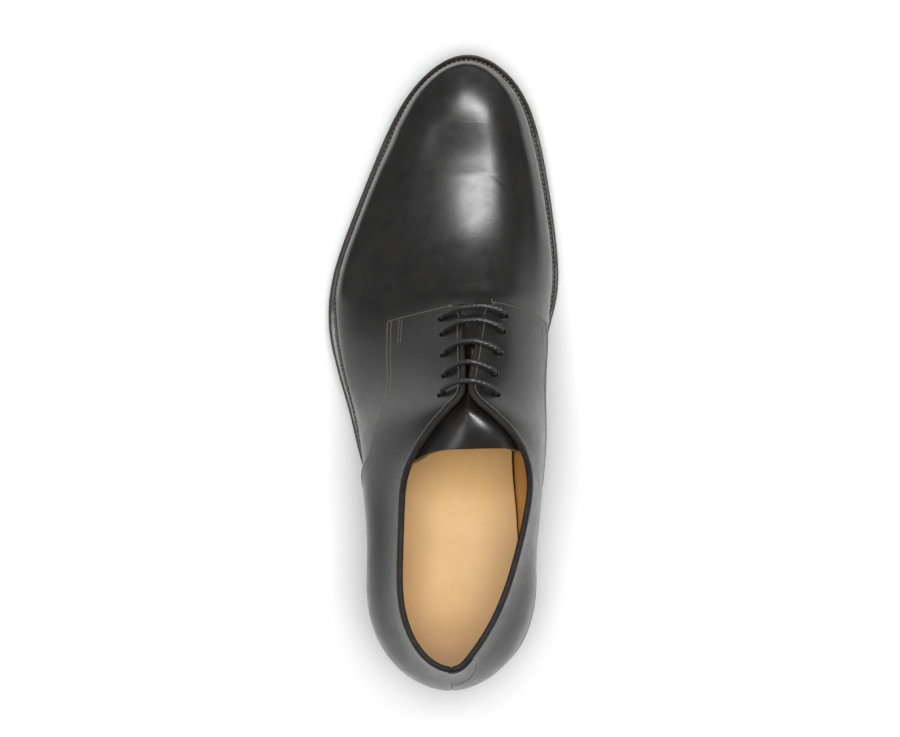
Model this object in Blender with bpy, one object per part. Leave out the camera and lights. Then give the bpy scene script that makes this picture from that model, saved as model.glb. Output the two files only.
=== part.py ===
# Derby shoe, left foot, empty on its sole. Metres, +Y to the toe, +X to the inner side, +Z up.
# The origin is the middle of the heel's walking face. The upper is one wall, drawn through sections of the last:
# each section runs from the foot edge on the welt up to the ridge of the instep or to the collar.
import bmesh
import bpy
import math
import numpy as np

# Sizes of the last
LENGTH = 0.298
BALL_WIDTH = 0.109
INSTEP_RISE = 0.085
HEEL_HEIGHT = 0.0215
TOE_SPRING = 0.0135

# Thicknesses and clearances
WALL = 0.0022
QUARTER_STEP = 0.0014
WELT_THICK = 0.0028
OUTSOLE_THICK = 0.0042
LIFT_THICK = 0.006
INSOLE_ABOVE_WELT = 0.002
WELT_UNDER_WALL = 0.0012
TONGUE_THICK = 0.0024
GAP = 0.0003

# Facings
FACING_GAP_TOP = 0.0054
FACING_GAP_THROAT = 0.0100
EYELETS = 5
FIRST_EYELET = 0.0115
EYELET_PITCH = 0.0114
EYELET_RADIUS = 0.00225
EYELET_TO_EDGE = 0.0105
EYELET_CUT_UNDER = 0.0035
EYELET_CUT_OVER = 0.0028

# Lace: its clearance over and under the wall, and how far a bar bows to the toe in the middle
LACE_RADIUS = 0.0012
LACE_OVER = 0.0005
LACE_UNDER = 0.0001
LACE_DEPTH = WALL + LACE_UNDER + LACE_RADIUS
BAR_BOW = 0.0020
# Points of a bar between the eyelet and the facing's edge, shares of EYELET_TO_EDGE
BAR_SHARES = (0.18, 0.38, 0.62, 0.86, 1.05)
# Points where a run under the facing leaves an eyelet: along the run and up to the wall, shares of LACE_RADIUS
RUN_START = ((0.75, 0.33), (2.20, 0.00))

# Heel
BREAST_ALONG = 0.0398
BREAST_HOLLOW = 0.0025
HEEL_FLARE = 0.0016
LIFT_FLARE = 0.0004

# Height of the sole's underside: share of the length, share of the heel's height, share of the toe spring
UNDERSIDE_COLUMNS = ("along", "heel", "spring")
UNDERSIDE = (
    (-0.150, 1.110, 0.000),
    (-0.040, 0.930, 0.000),
    (0.030, 0.837, 0.000),
    (0.112, 0.698, 0.000),
    (0.185, 0.567, 0.000),
    (0.232, 0.497, 0.000),
    (0.285, 0.395, 0.000),
    (0.339, 0.260, 0.000),
    (0.393, 0.112, 0.000),
    (0.432, 0.028, 0.000),
    (0.456, 0.000, 0.000),
    (0.525, 0.000, 0.000),
    (0.581, 0.000, 0.060),
    (0.643, 0.000, 0.163),
    (0.688, 0.000, 0.252),
    (0.732, 0.000, 0.355),
    (0.768, 0.000, 0.511),
    (0.809, 0.000, 0.763),
    (0.839, 0.000, 1.000),
    (0.870, 0.000, 1.330),
)

# Sections round the last, from the heel's back along the outer side to the toe and back along the inner side.
# across, along: foot edge, shares of BALL_WIDTH and LENGTH. turn: the way the section faces, in degrees.
# top_across, top_along, rise: its top, rise a share of INSTEP_RISE over the foot edge. swell, swell_at: how far the
# side stands out, a share of BALL_WIDTH, and at what share of the rise. lean: angle of the wall at its top, degrees.
# low, high: fullness of the curve under and over the widest point. ledge: welt beyond the foot edge.
SECTION_COLUMNS = (
    "name", "across", "along", "turn", "top_across", "top_along", "rise",
    "swell", "swell_at", "lean", "low", "high", "ledge",
)
SECTIONS = (
    ("heel back", 0.005, -0.119, 270, 0.034, -0.081, 0.715, 0.020, 0.22, 74, 0.45, 0.40, 0.026),
    ("outer heel corner", -0.202, -0.088, 228, -0.080, -0.060, 0.707, 0.014, 0.23, 74, 0.45, 0.43, 0.026),
    ("outer heel side", -0.292, -0.020, 190, -0.162, -0.008, 0.672, 0.032, 0.27, 72, 0.45, 0.45, 0.026),
    ("outer seat", -0.310, 0.088, 180, -0.206, 0.088, 0.603, 0.052, 0.36, 68, 0.45, 0.50, 0.026),
    ("outer waist", -0.326, 0.154, 180, -0.206, 0.168, 0.635, 0.058, 0.34, 64, 0.45, 0.48, 0.026),
    ("outer collar rise", -0.349, 0.198, 180, -0.165, 0.221, 0.740, 0.046, 0.30, 58, 0.45, 0.42, 0.028),
    ("outer shoulder", -0.372, 0.232, 180, -0.080, 0.265, 0.857, 0.030, 0.25, 46, 0.45, 0.36, 0.032),
    ("outer facing end", -0.390, 0.265, 180, 0.012, 0.301, 0.945, 0.018, 0.20, 32, 0.45, 0.29, 0.037),
    ("outer facing top", -0.411, 0.302, 180, 0.098, 0.328, 0.968, 0.012, 0.16, 22, 0.45, 0.17, 0.042),
    ("outer facing", -0.454, 0.356, 180, 0.103, 0.397, 0.838, 0.010, 0.15, 21, 0.45, 0.12, 0.044),
    ("outer low facing", -0.470, 0.380, 180, 0.106, 0.441, 0.760, 0.010, 0.16, 20, 0.45, 0.17, 0.046),
    ("outer throat", -0.480, 0.399, 180, 0.108, 0.474, 0.618, 0.011, 0.18, 14, 0.45, 0.22, 0.050),
    ("outer flex", -0.492, 0.436, 180, 0.114, 0.503, 0.577, 0.012, 0.20, 6, 0.45, 0.27, 0.054),
    ("outer ball", -0.492, 0.473, 180, 0.120, 0.530, 0.542, 0.012, 0.20, 3, 0.45, 0.30, 0.053),
    ("outer vamp", -0.419, 0.577, 180, 0.119, 0.604, 0.443, 0.012, 0.23, 0, 0.45, 0.38, 0.048),
    ("outer toe side", -0.320, 0.671, 180, 0.116, 0.681, 0.379, 0.012, 0.27, 0, 0.48, 0.46, 0.044),
    ("outer toe corner", -0.232, 0.745, 180, 0.110, 0.745, 0.360, 0.012, 0.30, 0, 0.50, 0.52, 0.042),
    ("outer toe turn", -0.112, 0.809, 143, 0.110, 0.745, 0.285, 0.013, 0.36, 0, 0.50, 0.58, 0.040),
    ("toe tip", 0.072, 0.842, 98, 0.110, 0.745, 0.238, 0.014, 0.36, 0, 0.50, 0.62, 0.043),
    ("inner toe turn", 0.238, 0.806, 53, 0.110, 0.745, 0.285, 0.013, 0.36, 0, 0.50, 0.58, 0.040),
    ("inner toe corner", 0.319, 0.745, 0, 0.110, 0.745, 0.360, 0.012, 0.30, 0, 0.50, 0.54, 0.038),
    ("inner toe side", 0.363, 0.671, 0, 0.116, 0.681, 0.379, 0.012, 0.28, 0, 0.50, 0.52, 0.038),
    ("inner vamp", 0.401, 0.577, 0, 0.119, 0.604, 0.443, 0.013, 0.28, 0, 0.50, 0.52, 0.037),
    ("inner ball", 0.407, 0.473, 0, 0.120, 0.530, 0.542, 0.020, 0.31, -3, 0.50, 0.54, 0.034),
    ("inner flex", 0.385, 0.436, 0, 0.114, 0.503, 0.577, 0.033, 0.36, -6, 0.50, 0.52, 0.031),
    ("inner throat", 0.362, 0.399, 0, 0.108, 0.474, 0.618, 0.052, 0.40, -10, 0.50, 0.50, 0.028),
    ("inner low facing", 0.345, 0.380, 0, 0.106, 0.441, 0.760, 0.064, 0.36, -12, 0.50, 0.46, 0.027),
    ("inner facing", 0.325, 0.356, 0, 0.103, 0.397, 0.838, 0.080, 0.34, -8, 0.50, 0.44, 0.026),
    ("inner facing top", 0.289, 0.302, 0, 0.098, 0.326, 0.980, 0.110, 0.31, 2, 0.50, 0.42, 0.026),
    ("inner facing end", 0.278, 0.265, 0, 0.218, 0.292, 0.985, 0.122, 0.32, 36, 0.50, 0.44, 0.026),
    ("inner shoulder", 0.276, 0.232, 0, 0.312, 0.250, 0.865, 0.120, 0.34, 64, 0.50, 0.46, 0.026),
    ("inner collar rise", 0.280, 0.198, 0, 0.343, 0.207, 0.730, 0.104, 0.37, 76, 0.50, 0.45, 0.026),
    ("inner waist", 0.292, 0.154, 0, 0.338, 0.163, 0.675, 0.082, 0.37, 78, 0.50, 0.45, 0.026),
    ("inner seat", 0.305, 0.088, 0, 0.293, 0.086, 0.655, 0.052, 0.36, 78, 0.45, 0.45, 0.026),
    ("inner heel side", 0.298, -0.020, -10, 0.196, -0.012, 0.700, 0.032, 0.27, 75, 0.45, 0.45, 0.026),
    ("inner heel corner", 0.206, -0.088, -48, 0.112, -0.060, 0.718, 0.014, 0.23, 75, 0.45, 0.43, 0.026),
)

# Lower edge of the quarters over the vamp, seen from the side: shares of LENGTH and of INSTEP_RISE over the ground
SEAM_COLUMNS = ("along", "height")
SEAM = (
    (0.1745, 0.216),
    (0.185, 0.347),
    (0.195, 0.435),
    (0.215, 0.506),
    (0.238, 0.541),
    (0.262, 0.559),
    (0.289, 0.565),
    (0.326, 0.553),
    (0.369, 0.518),
    (0.403, 0.482),
    (0.450, 0.470),
)

# Tongue: how far it reaches under the facings, the room under them for the lace, how far its free end arches,
# and where it starts and ends between two sections
TONGUE_UNDER = 0.020
LACE_ROOM = 0.0030
TONGUE_CROWN = 0.0105
TONGUE_ROOT = 0.55
TONGUE_TIP = 0.42

# Rows of the tongue from its root under the vamp to its end: the sections it lies under, how far it reaches under
# the wall's edge as a share of TONGUE_UNDER, its depth under the wall at its sides and in its middle as shares of
# LACE_ROOM, and how far the middle arches up as a share of TONGUE_CROWN
TONGUE_COLUMNS = ("outer", "inner", "under", "side_depth", "middle_depth", "crown")
TONGUE = (
    ("outer flex", "inner flex", 0.45, 0.03, 0.03, 0.00),
    ("outer throat", "inner throat", 0.75, 0.60, 0.07, 0.00),
    ("outer low facing", "inner low facing", 0.90, 1.00, 0.37, 0.00),
    ("outer facing", "inner facing", 1.00, 1.03, 0.50, 0.00),
    ("outer facing top", "inner facing top", 1.00, 0.97, 0.50, 0.00),
    ("outer facing end", "inner facing end", 0.65, 0.37, 0.37, 0.43),
    ("outer shoulder", "inner shoulder", 0.30, -0.10, -0.10, 1.00),
)

# Colours
BLACK_CALF = (0.012, 0.012, 0.014)
DARK_EDGE = (0.03, 0.025, 0.022)
TAN_LEATHER = (0.52, 0.30, 0.12)
BLACK_LACE = (0.02, 0.02, 0.02)
BROWN_LIFT = (0.05, 0.032, 0.022)

# Mesh fineness: points up a section, rows under and over the seam, columns, stations and dense samples
CURVE_POINTS = 33
LOW_ROWS = 6
HIGH_ROWS = 9
QUARTER_COLUMNS = 27
RIDGE_COLUMNS = 13
TOE_COLUMNS = 15
TOE_LOW_SHARE = 0.55
RIDGE_SHARE = 0.95
SOLE_STATIONS = 44
WELT_STATIONS = 96
HEEL_STATIONS = 20
BREAST_POINTS = 7
TONGUE_ROWS = 17
TONGUE_ACROSS = 15
TONGUE_SHARES = (1.0, 0.75, 0.5, 0.25, 0.1)
EYELET_SIDES = 12
DENSE = 400
TURN_STEP = 0.001
MARK_CLEAR = 0.004
SAME_POINT = 1e-7


def spline(knots, values, closed):
    """Smooth curve through values at knots, as a function, with its second derivatives solved for."""
    knots = np.asarray(knots, float)
    values = np.asarray(values, float)
    count = len(knots) - 1
    steps = np.diff(knots)
    slopes = np.diff(values) / steps
    system = np.zeros((count + 1, count + 1))
    right = np.zeros(count + 1)
    for row in range(1, count):
        system[row, row - 1:row + 2] = steps[row - 1], 2 * (steps[row - 1] + steps[row]), steps[row]
        right[row] = 6 * (slopes[row] - slopes[row - 1])
    if closed:
        system[0, 0], system[0, count] = 1, -1
        system[count, 0:2] = 2 * steps[0], steps[0]
        system[count, count - 1:] = steps[-1], 2 * steps[-1]
        right[count] = 6 * (slopes[0] - slopes[-1])
    else:
        system[0, 0] = 1
        system[count, count] = 1
    bend = np.linalg.solve(system, right)

    def curve(place):
        if closed:
            place = knots[0] + (place - knots[0]) % (knots[-1] - knots[0])
        cell = int(np.clip(np.searchsorted(knots, place) - 1, 0, count - 1))
        width = steps[cell]
        ahead = (knots[cell + 1] - place) / width
        behind = (place - knots[cell]) / width
        cubic = (ahead ** 3 - ahead) * bend[cell] + (behind ** 3 - behind) * bend[cell + 1]
        return ahead * values[cell] + behind * values[cell + 1] + cubic * width * width / 6

    return curve


def unit(vector):
    return vector / np.linalg.norm(vector)


def column_of(table, columns, name):
    return [row[columns.index(name)] for row in table]


def underside_height(along):
    """Height of the sole's underside at a place along the shoe, straight between the table's rows."""
    places = np.array(column_of(UNDERSIDE, UNDERSIDE_COLUMNS, "along")) * LENGTH
    heights = (
        np.array(column_of(UNDERSIDE, UNDERSIDE_COLUMNS, "heel")) * HEEL_HEIGHT
        + np.array(column_of(UNDERSIDE, UNDERSIDE_COLUMNS, "spring")) * TOE_SPRING
    )
    return float(np.interp(along, places, heights))


def welt_top(along):
    return underside_height(along) + OUTSOLE_THICK + GAP + WELT_THICK


def foot_height(along):
    return welt_top(along) + GAP


class Last:
    """The section curves as smooth functions of the way round the foot edge."""

    def __init__(self):
        table = {name: column_of(SECTIONS, SECTION_COLUMNS, name) for name in SECTION_COLUMNS}
        across = np.array(table["across"]) * BALL_WIDTH
        along = np.array(table["along"]) * LENGTH
        hops = np.hypot(np.diff(across, append=across[0]), np.diff(along, append=along[0]))
        self.knots = np.concatenate([[0], np.cumsum(hops)])
        self.round = self.knots[-1]
        self.names = table["name"]
        turn = np.radians(table["turn"])
        loops = {
            "across": across, "along": along, "turn_x": np.cos(turn), "turn_y": np.sin(turn),
            "swell": np.array(table["swell"]) * BALL_WIDTH, "ledge": np.array(table["ledge"]) * BALL_WIDTH,
            "swell_at": table["swell_at"], "lean": np.radians(table["lean"]), "low": table["low"],
            "high": table["high"],
        }
        self.loops = {name: spline(self.knots, [*values, values[0]], True) for name, values in loops.items()}
        self.outer_pole = self.names.index("outer toe corner")
        self.inner_pole = self.names.index("inner toe corner")
        order = [*range(self.inner_pole, len(self.names)), *range(self.outer_pole + 1)]
        top_knots = [self.knots[row] - (self.round if row >= self.inner_pole else 0) for row in order]
        tops = {
            "top_across": np.array(table["top_across"]) * BALL_WIDTH,
            "top_along": np.array(table["top_along"]) * LENGTH,
            "rise": np.array(table["rise"]) * INSTEP_RISE,
        }
        self.tops = {name: spline(top_knots, values[order], False) for name, values in tops.items()}

    def station(self, name):
        return self.knots[self.names.index(name)]

    def foot(self, place):
        return np.array([self.loops["across"](place), self.loops["along"](place)])

    def foot_out(self, place):
        ahead = self.foot(place + TURN_STEP) - self.foot(place - TURN_STEP)
        return unit(np.array([-ahead[1], ahead[0]]))

    def sole_edge(self, place, beyond=0.0):
        """Plan of the welt's and outsole's edge, beyond the foot edge by the table's ledge."""
        return self.foot(place) + self.foot_out(place) * (self.loops["ledge"](place) + beyond)

    def ring_edge(self, place, inward):
        return self.foot(place) - self.foot_out(place) * inward

    def top(self, place):
        """Top point of a section: the collar's edge, the instep's ridge, or the pole behind the toe."""
        place = place % self.round
        outer = self.knots[self.outer_pole]
        inner = self.knots[self.inner_pole]
        if outer < place < inner:
            place = outer
        shifted = place - self.round if place >= inner else place
        along = self.loops["along"](place)
        height = foot_height(along) + self.tops["rise"](shifted)
        return np.array([self.tops["top_across"](shifted), self.tops["top_along"](shifted), height])

    def section(self, place):
        """Points of one section from the foot edge to its top, evenly spaced along the curve."""
        foot = self.foot(place)
        ground = foot_height(foot[1])
        top = self.top(place)
        out = unit(np.array([self.loops["turn_x"](place), self.loops["turn_y"](place)]))
        side = np.array([-out[1], out[0]])
        span = top[:2] - foot
        inward = -float(span @ out)
        shift = float(span @ side)
        rise = top[2] - ground
        swell = self.loops["swell"](place)
        waist = ground + rise * self.loops["swell_at"](place)
        low = self.loops["low"](place)
        high = self.loops["high"](place)
        lean = self.loops["lean"](place)
        reach = np.hypot(inward + swell, top[2] - waist)
        foot_curve = ((0, ground), (swell * low, ground + (waist - ground) * low),
                      (swell, waist - (waist - ground) * low), (swell, waist))
        flat = abs(math.cos(lean)) * (inward + swell) + abs(math.sin(lean)) * reach
        high_reach = high * flat
        top_curve = ((swell, waist), (swell, waist + (top[2] - waist) * high),
                     (-inward + math.cos(lean) * high_reach, top[2] - math.sin(lean) * high_reach),
                     (-inward, top[2]))
        share = np.linspace(0, 1, CURVE_POINTS)[:, None]
        weights = np.hstack([(1 - share) ** 3, 3 * share * (1 - share) ** 2, 3 * share ** 2 * (1 - share), share ** 3])
        flat_points = np.vstack([weights @ np.array(foot_curve), (weights @ np.array(top_curve))[1:]])
        lengths = np.concatenate([[0], np.cumsum(np.hypot(*np.diff(flat_points, axis=0).T))])
        even = np.linspace(0, lengths[-1], CURVE_POINTS)
        stand = np.interp(even, lengths, flat_points[:, 0])
        height = np.interp(even, lengths, flat_points[:, 1])
        plan = foot + stand[:, None] * out + ((height - ground) / rise * shift)[:, None] * side
        return np.column_stack([plan, height]), lengths[-1]

    def wall(self, place):
        """Section points with the outward direction of the surface at each."""
        points, length = self.section(place)
        before = self.section(place - TURN_STEP)[0]
        after = self.section(place + TURN_STEP)[0]
        normals = np.cross(np.gradient(points, axis=0), after - before)
        sizes = np.linalg.norm(normals, axis=1)
        flat = sizes < SAME_POINT ** 2
        normals[flat] = (0, 0, 1)
        sizes[flat] = 1
        normals = normals / sizes[:, None]
        if normals[CURVE_POINTS // 4] @ np.array([*self.foot_out(place), 0]) < 0:
            normals = -normals
        normals[flat] = (0, 0, 1)
        return points, normals, length


def at_share(values, share):
    grid = np.linspace(0, 1, len(values))
    return np.array([np.interp(share, grid, values[:, axis]) for axis in range(values.shape[1])])


def seam_share(points):
    """Share of a section at which the quarter's lower edge crosses it: 0 behind the seam's end."""
    places = np.array(column_of(SEAM, SEAM_COLUMNS, "along")) * LENGTH
    heights = np.array(column_of(SEAM, SEAM_COLUMNS, "height")) * INSTEP_RISE
    if points[0, 1] < places[0]:
        return 0.0
    above = points[:, 2] - np.interp(points[:, 1], places, heights)
    for cell in range(len(points) - 1):
        if above[cell] <= 0 < above[cell + 1]:
            part = above[cell] / (above[cell] - above[cell + 1])
            return (cell + part) / (len(points) - 1)
    return 0.0


def make_object(name, corners, faces, colour, roughness):
    mesh = bpy.data.meshes.new(name)
    mesh.from_pydata([tuple(float(part) for part in corner) for corner in corners], [], faces)
    work = bmesh.new()
    work.from_mesh(mesh)
    bmesh.ops.triangulate(work, faces=work.faces[:])
    bmesh.ops.recalc_face_normals(work, faces=work.faces[:])
    work.to_mesh(mesh)
    work.free()
    mesh.shade_smooth()
    mesh.set_sharp_from_angle(angle=math.radians(35))
    return place_object(name, mesh, colour, roughness)


def place_object(name, data, colour, roughness):
    material = bpy.data.materials.new(name)
    material.use_nodes = True
    shader = material.node_tree.nodes["Principled BSDF"]
    shader.inputs["Base Color"].default_value = (*colour, 1)
    shader.inputs["Roughness"].default_value = roughness
    shader.inputs["Metallic"].default_value = 0
    data.materials.append(material)
    thing = bpy.data.objects.new(name, data)
    bpy.context.collection.objects.link(thing)
    return thing


class Corners:
    """Numbered points, so that a point that two strips share is one point."""

    def __init__(self):
        self.points = []
        self.faces = []

    def add(self, point):
        self.points.append(np.asarray(point, float))
        return len(self.points) - 1

    def face(self, *loop):
        clean = [index for spot, index in enumerate(loop) if index != loop[spot - 1]]
        if len(set(clean)) >= 3:
            self.faces.append(clean)


def facing_open(last, place):
    """Distance along the wall from the ridge to the facing's edge, 0 where the section ends at the collar."""
    top = last.top(place)
    low = last.top(last.station("outer throat"))[1]
    high = last.top(last.station("outer facing top"))[1]
    down = np.clip((top[1] - high) / (low - high), 0, 1)
    half = (FACING_GAP_TOP + (FACING_GAP_THROAT - FACING_GAP_TOP) * down ** 2) / 2
    outer = last.station("outer facing top"), last.station("outer facing end")
    inner = last.station("inner facing top"), last.station("inner facing end")
    for full, none in (outer, inner):
        if min(full, none) < place < max(full, none):
            return half * max(0.0, 1 - abs(place - full) / abs(none - full)) ** 0.5
    if outer[0] <= place <= last.station("outer throat") or last.station("inner throat") <= place <= inner[0]:
        return half
    return 0.0


def quarter_column(last, place, corners):
    """Outer and inner points of one column of a quarter, from foot to rim."""
    points, normals, length = last.wall(place)
    seam = seam_share(points)
    end = 1 - facing_open(last, place) / length
    low = np.linspace(0, seam, LOW_ROWS + 1)
    high = np.linspace(seam, end, HIGH_ROWS + 1)
    outer_low = [at_share(points, share) for share in low]
    outer_high = [at_share(points, share) + at_share(normals, share) * QUARTER_STEP for share in high]
    inner = []
    for share in [*low[:-1], *high]:
        thin = np.clip((share - seam) / (end - seam), 0, 1) * QUARTER_STEP
        inner.append(at_share(points, share) - at_share(normals, share) * (WALL - thin))
    for foot in (outer_low[0], inner[0]):
        foot[2] = foot_height(foot[1])
    if seam == 0:
        outer_high[0][2] = foot_height(outer_high[0][1])
        start = corners.add(outer_high[0])
        outer_ids = [start] * (LOW_ROWS + 2) + [corners.add(point) for point in outer_high[1:]]
    else:
        outer_ids = [corners.add(point) for point in [*outer_low, *outer_high]]
    inner_ids = [corners.add(point) for point in inner]
    return outer_ids, inner_ids


def vamp_column(last, place, end, corners, ridge_ids, quarter=None):
    """Outer and inner points of one column of the vamp, from foot to ridge. The first column is the quarter's too."""
    points, normals = last.wall(place)[:2]
    seam = seam_share(points) if quarter else TOE_LOW_SHARE
    rows = [*np.linspace(0, seam, LOW_ROWS + 1), *np.linspace(seam, end, HIGH_ROWS + 1)[1:], 1.0]
    outer = [at_share(points, share) for share in rows]
    inner = [at_share(points, share) - at_share(normals, share) * WALL for share in rows]
    for foot in (outer[0], inner[0]):
        foot[2] = foot_height(foot[1])
    if quarter:
        outer_ids = quarter[0][:LOW_ROWS + 1] + [corners.add(point) for point in outer[LOW_ROWS + 1:-1]]
        inner_ids = quarter[1]
    else:
        outer_ids = [corners.add(point) for point in outer[:-1]]
        inner_ids = [corners.add(point) for point in inner[:-1]]
    return outer_ids + [ridge_ids[0]], inner_ids + [ridge_ids[1]]


def build_upper(last):
    corners = Corners()
    outer_quarter = np.linspace(0, last.station("outer throat"), QUARTER_COLUMNS)
    inner_quarter = np.linspace(last.station("inner throat"), last.round, QUARTER_COLUMNS)
    outer_columns = [quarter_column(last, place, corners) for place in outer_quarter]
    inner_columns = [quarter_column(last, place, corners) for place in inner_quarter[:-1]]
    inner_columns.append(outer_columns[0])
    outer_vamp = np.linspace(last.station("outer throat"), last.station("outer toe corner"), RIDGE_COLUMNS)
    inner_vamp = matching_places(last, outer_vamp)
    ridge = []
    for outer_place, inner_place in zip(outer_vamp, inner_vamp):
        middle = (last.top(outer_place) + last.top(inner_place)) / 2
        ridge.append((corners.add(middle), corners.add(middle - np.array([0, 0, WALL]))))
    outer_side = vamp_side(last, corners, outer_vamp, ridge, outer_columns[-1])
    inner_side = vamp_side(last, corners, inner_vamp, ridge, inner_columns[0])
    toe_places = np.linspace(last.station("outer toe corner"), last.station("inner toe corner"), TOE_COLUMNS)
    toe = [vamp_column(last, place, RIDGE_SHARE, corners, ridge[-1]) for place in toe_places[1:-1]]
    vamp = outer_side + toe + inner_side[::-1]
    for columns in (outer_columns, inner_columns):
        weave(corners, columns, LOW_ROWS + HIGH_ROWS + 1, LOW_ROWS + HIGH_ROWS)
        for before, after in zip(columns, columns[1:]):
            corners.face(before[0][-1], after[0][-1], after[1][-1], before[1][-1])
    weave(corners, vamp, LOW_ROWS + HIGH_ROWS + 1, LOW_ROWS + HIGH_ROWS + 1)
    close_throat(corners, outer_columns[-1], vamp[0])
    close_throat(corners, inner_columns[0], vamp[-1])
    return make_object("upper", corners.points, corners.faces, BLACK_CALF, 0.25)


def vamp_side(last, corners, places, ridge, quarter):
    """Columns of one side of the vamp, from the throat to the toe's corner."""
    throat = 1 - facing_open(last, places[0]) / last.wall(places[0])[2]
    ends = np.linspace(throat, RIDGE_SHARE, RIDGE_COLUMNS)
    columns = [vamp_column(last, places[0], ends[0], corners, ridge[0], quarter)]
    for place, end, ridge_ids in zip(places[1:], ends[1:], ridge[1:]):
        columns.append(vamp_column(last, place, end, corners, ridge_ids))
    return columns


def matching_places(last, outer_places):
    """Inner places whose ridge point lies as far along as each outer place's."""
    start = last.station("inner toe corner")
    end = last.station("inner throat")
    found = inner_matches(last, outer_places, start, end)
    return [end, *found[1:-1], start]


def inner_matches(last, outer_places, start, end):
    """Places of the inner side between two others whose tops lie as far along as the outer places' tops."""
    dense = np.linspace(start, end, DENSE)
    along = np.array([last.top(place)[1] for place in dense])
    return [float(np.interp(-last.top(place)[1], -along, dense)) for place in outer_places]


def weave(corners, columns, outer_rows, inner_rows):
    for before, after in zip(columns, columns[1:]):
        for row in range(outer_rows):
            corners.face(before[0][row], after[0][row], after[0][row + 1], before[0][row + 1])
        for row in range(inner_rows):
            corners.face(before[1][row], before[1][row + 1], after[1][row + 1], after[1][row])
        corners.face(before[0][0], before[1][0], after[1][0], after[0][0])


def close_throat(corners, quarter, vamp):
    """The quarter's front edge over the vamp, and the vamp's free edge between the facings."""
    outer, inner = quarter
    under = vamp[0]
    for row in range(LOW_ROWS + 1, LOW_ROWS + HIGH_ROWS + 1):
        below = under[LOW_ROWS] if row == LOW_ROWS + 1 else under[row - 1]
        corners.face(outer[row], outer[row + 1], under[row], below)
    corners.face(outer[-1], under[-2], inner[-1])
    corners.face(under[-2], under[-1], vamp[1][-1], inner[-1])


def ladder(name, left, right, low, high, colour, roughness):
    """A plate between two edges given at the same stations, with pointed ends, and its lower and upper heights."""
    corners = Corners()
    rows = []
    for outer, inner in zip(left, right):
        ends = [outer] if np.hypot(*(outer - inner)) < SAME_POINT else [outer, inner]
        ids = []
        for level in (low, high):
            made = [corners.add([*spot, level(spot)]) for spot in ends]
            ids.append((made[0], made[-1]))
        rows.append(ids)
    for (low_a, high_a), (low_b, high_b) in zip(rows, rows[1:]):
        corners.face(low_a[0], low_b[0], low_b[1], low_a[1])
        corners.face(high_a[0], high_a[1], high_b[1], high_b[0])
        corners.face(low_a[0], high_a[0], high_b[0], low_b[0])
        corners.face(low_a[1], low_b[1], high_b[1], high_a[1])
    for low_end, high_end in (rows[0], rows[-1]):
        corners.face(low_end[0], low_end[1], high_end[1], high_end[0])
    return make_object(name, corners.points, corners.faces, colour, roughness)


def edge_pairs(last, plan, stations, front=None):
    """Outer and inner edge points of a plan outline at the same places along the shoe."""
    toe = last.station("toe tip")
    dense_outer = np.array([plan(place) for place in np.linspace(0, toe, DENSE)])
    dense_inner = np.array([plan(place) for place in np.linspace(toe, last.round, DENSE)])[::-1]
    low = max(dense_outer[:, 1].min(), dense_inner[:, 1].min())
    high = min(dense_outer[:, 1].max(), dense_inner[:, 1].max())
    if front is not None:
        high = front
    sweep = math.pi if front is None else math.pi / 2
    spread = 1 - np.cos(np.linspace(0, sweep, stations))
    spread = spread / spread[-1]
    along = low + (high - low) * spread
    for mark in np.array(column_of(UNDERSIDE, UNDERSIDE_COLUMNS, "along")) * LENGTH:
        if low + MARK_CLEAR < mark < high - MARK_CLEAR:
            along[np.argmin(abs(along - mark))] = mark
    left, right = [], []
    for spot in along:
        outer_x = np.interp(spot, *ordered(dense_outer))
        inner_x = np.interp(spot, *ordered(dense_inner))
        left.append(np.array([outer_x, spot]))
        right.append(np.array([inner_x, spot]))
    middle = (left[0] + right[0]) / 2
    left[0] = right[0] = middle
    if front is None:
        middle = (left[-1] + right[-1]) / 2
        left[-1] = right[-1] = middle
    return left, right


def ordered(points):
    order = np.argsort(points[:, 1])
    return points[order, 1], points[order, 0]


def build_outsole(last):
    left, right = edge_pairs(last, last.sole_edge, SOLE_STATIONS)
    return ladder("outsole", left, right, lambda spot: underside_height(spot[1]),
                  lambda spot: underside_height(spot[1]) + OUTSOLE_THICK, DARK_EDGE, 0.4)


def build_welt(last):
    corners = Corners()
    inward = WALL + WELT_UNDER_WALL
    rings = []
    for place in np.arange(WELT_STATIONS) * last.round / WELT_STATIONS:
        outer = last.sole_edge(place)
        inner = last.ring_edge(place, inward)
        ring = []
        for spot, level in ((outer, 0), (outer, WELT_THICK), (inner, WELT_THICK), (inner, 0)):
            base = underside_height(spot[1]) + OUTSOLE_THICK + GAP
            ring.append(corners.add([*spot, base + level]))
        rings.append(ring)
    for before, after in zip(rings, rings[1:] + rings[:1]):
        for side in range(4):
            beyond = (side + 1) % 4
            corners.face(before[side], after[side], after[beyond], before[beyond])
    return make_object("welt", corners.points, corners.faces, DARK_EDGE, 0.4)


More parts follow.
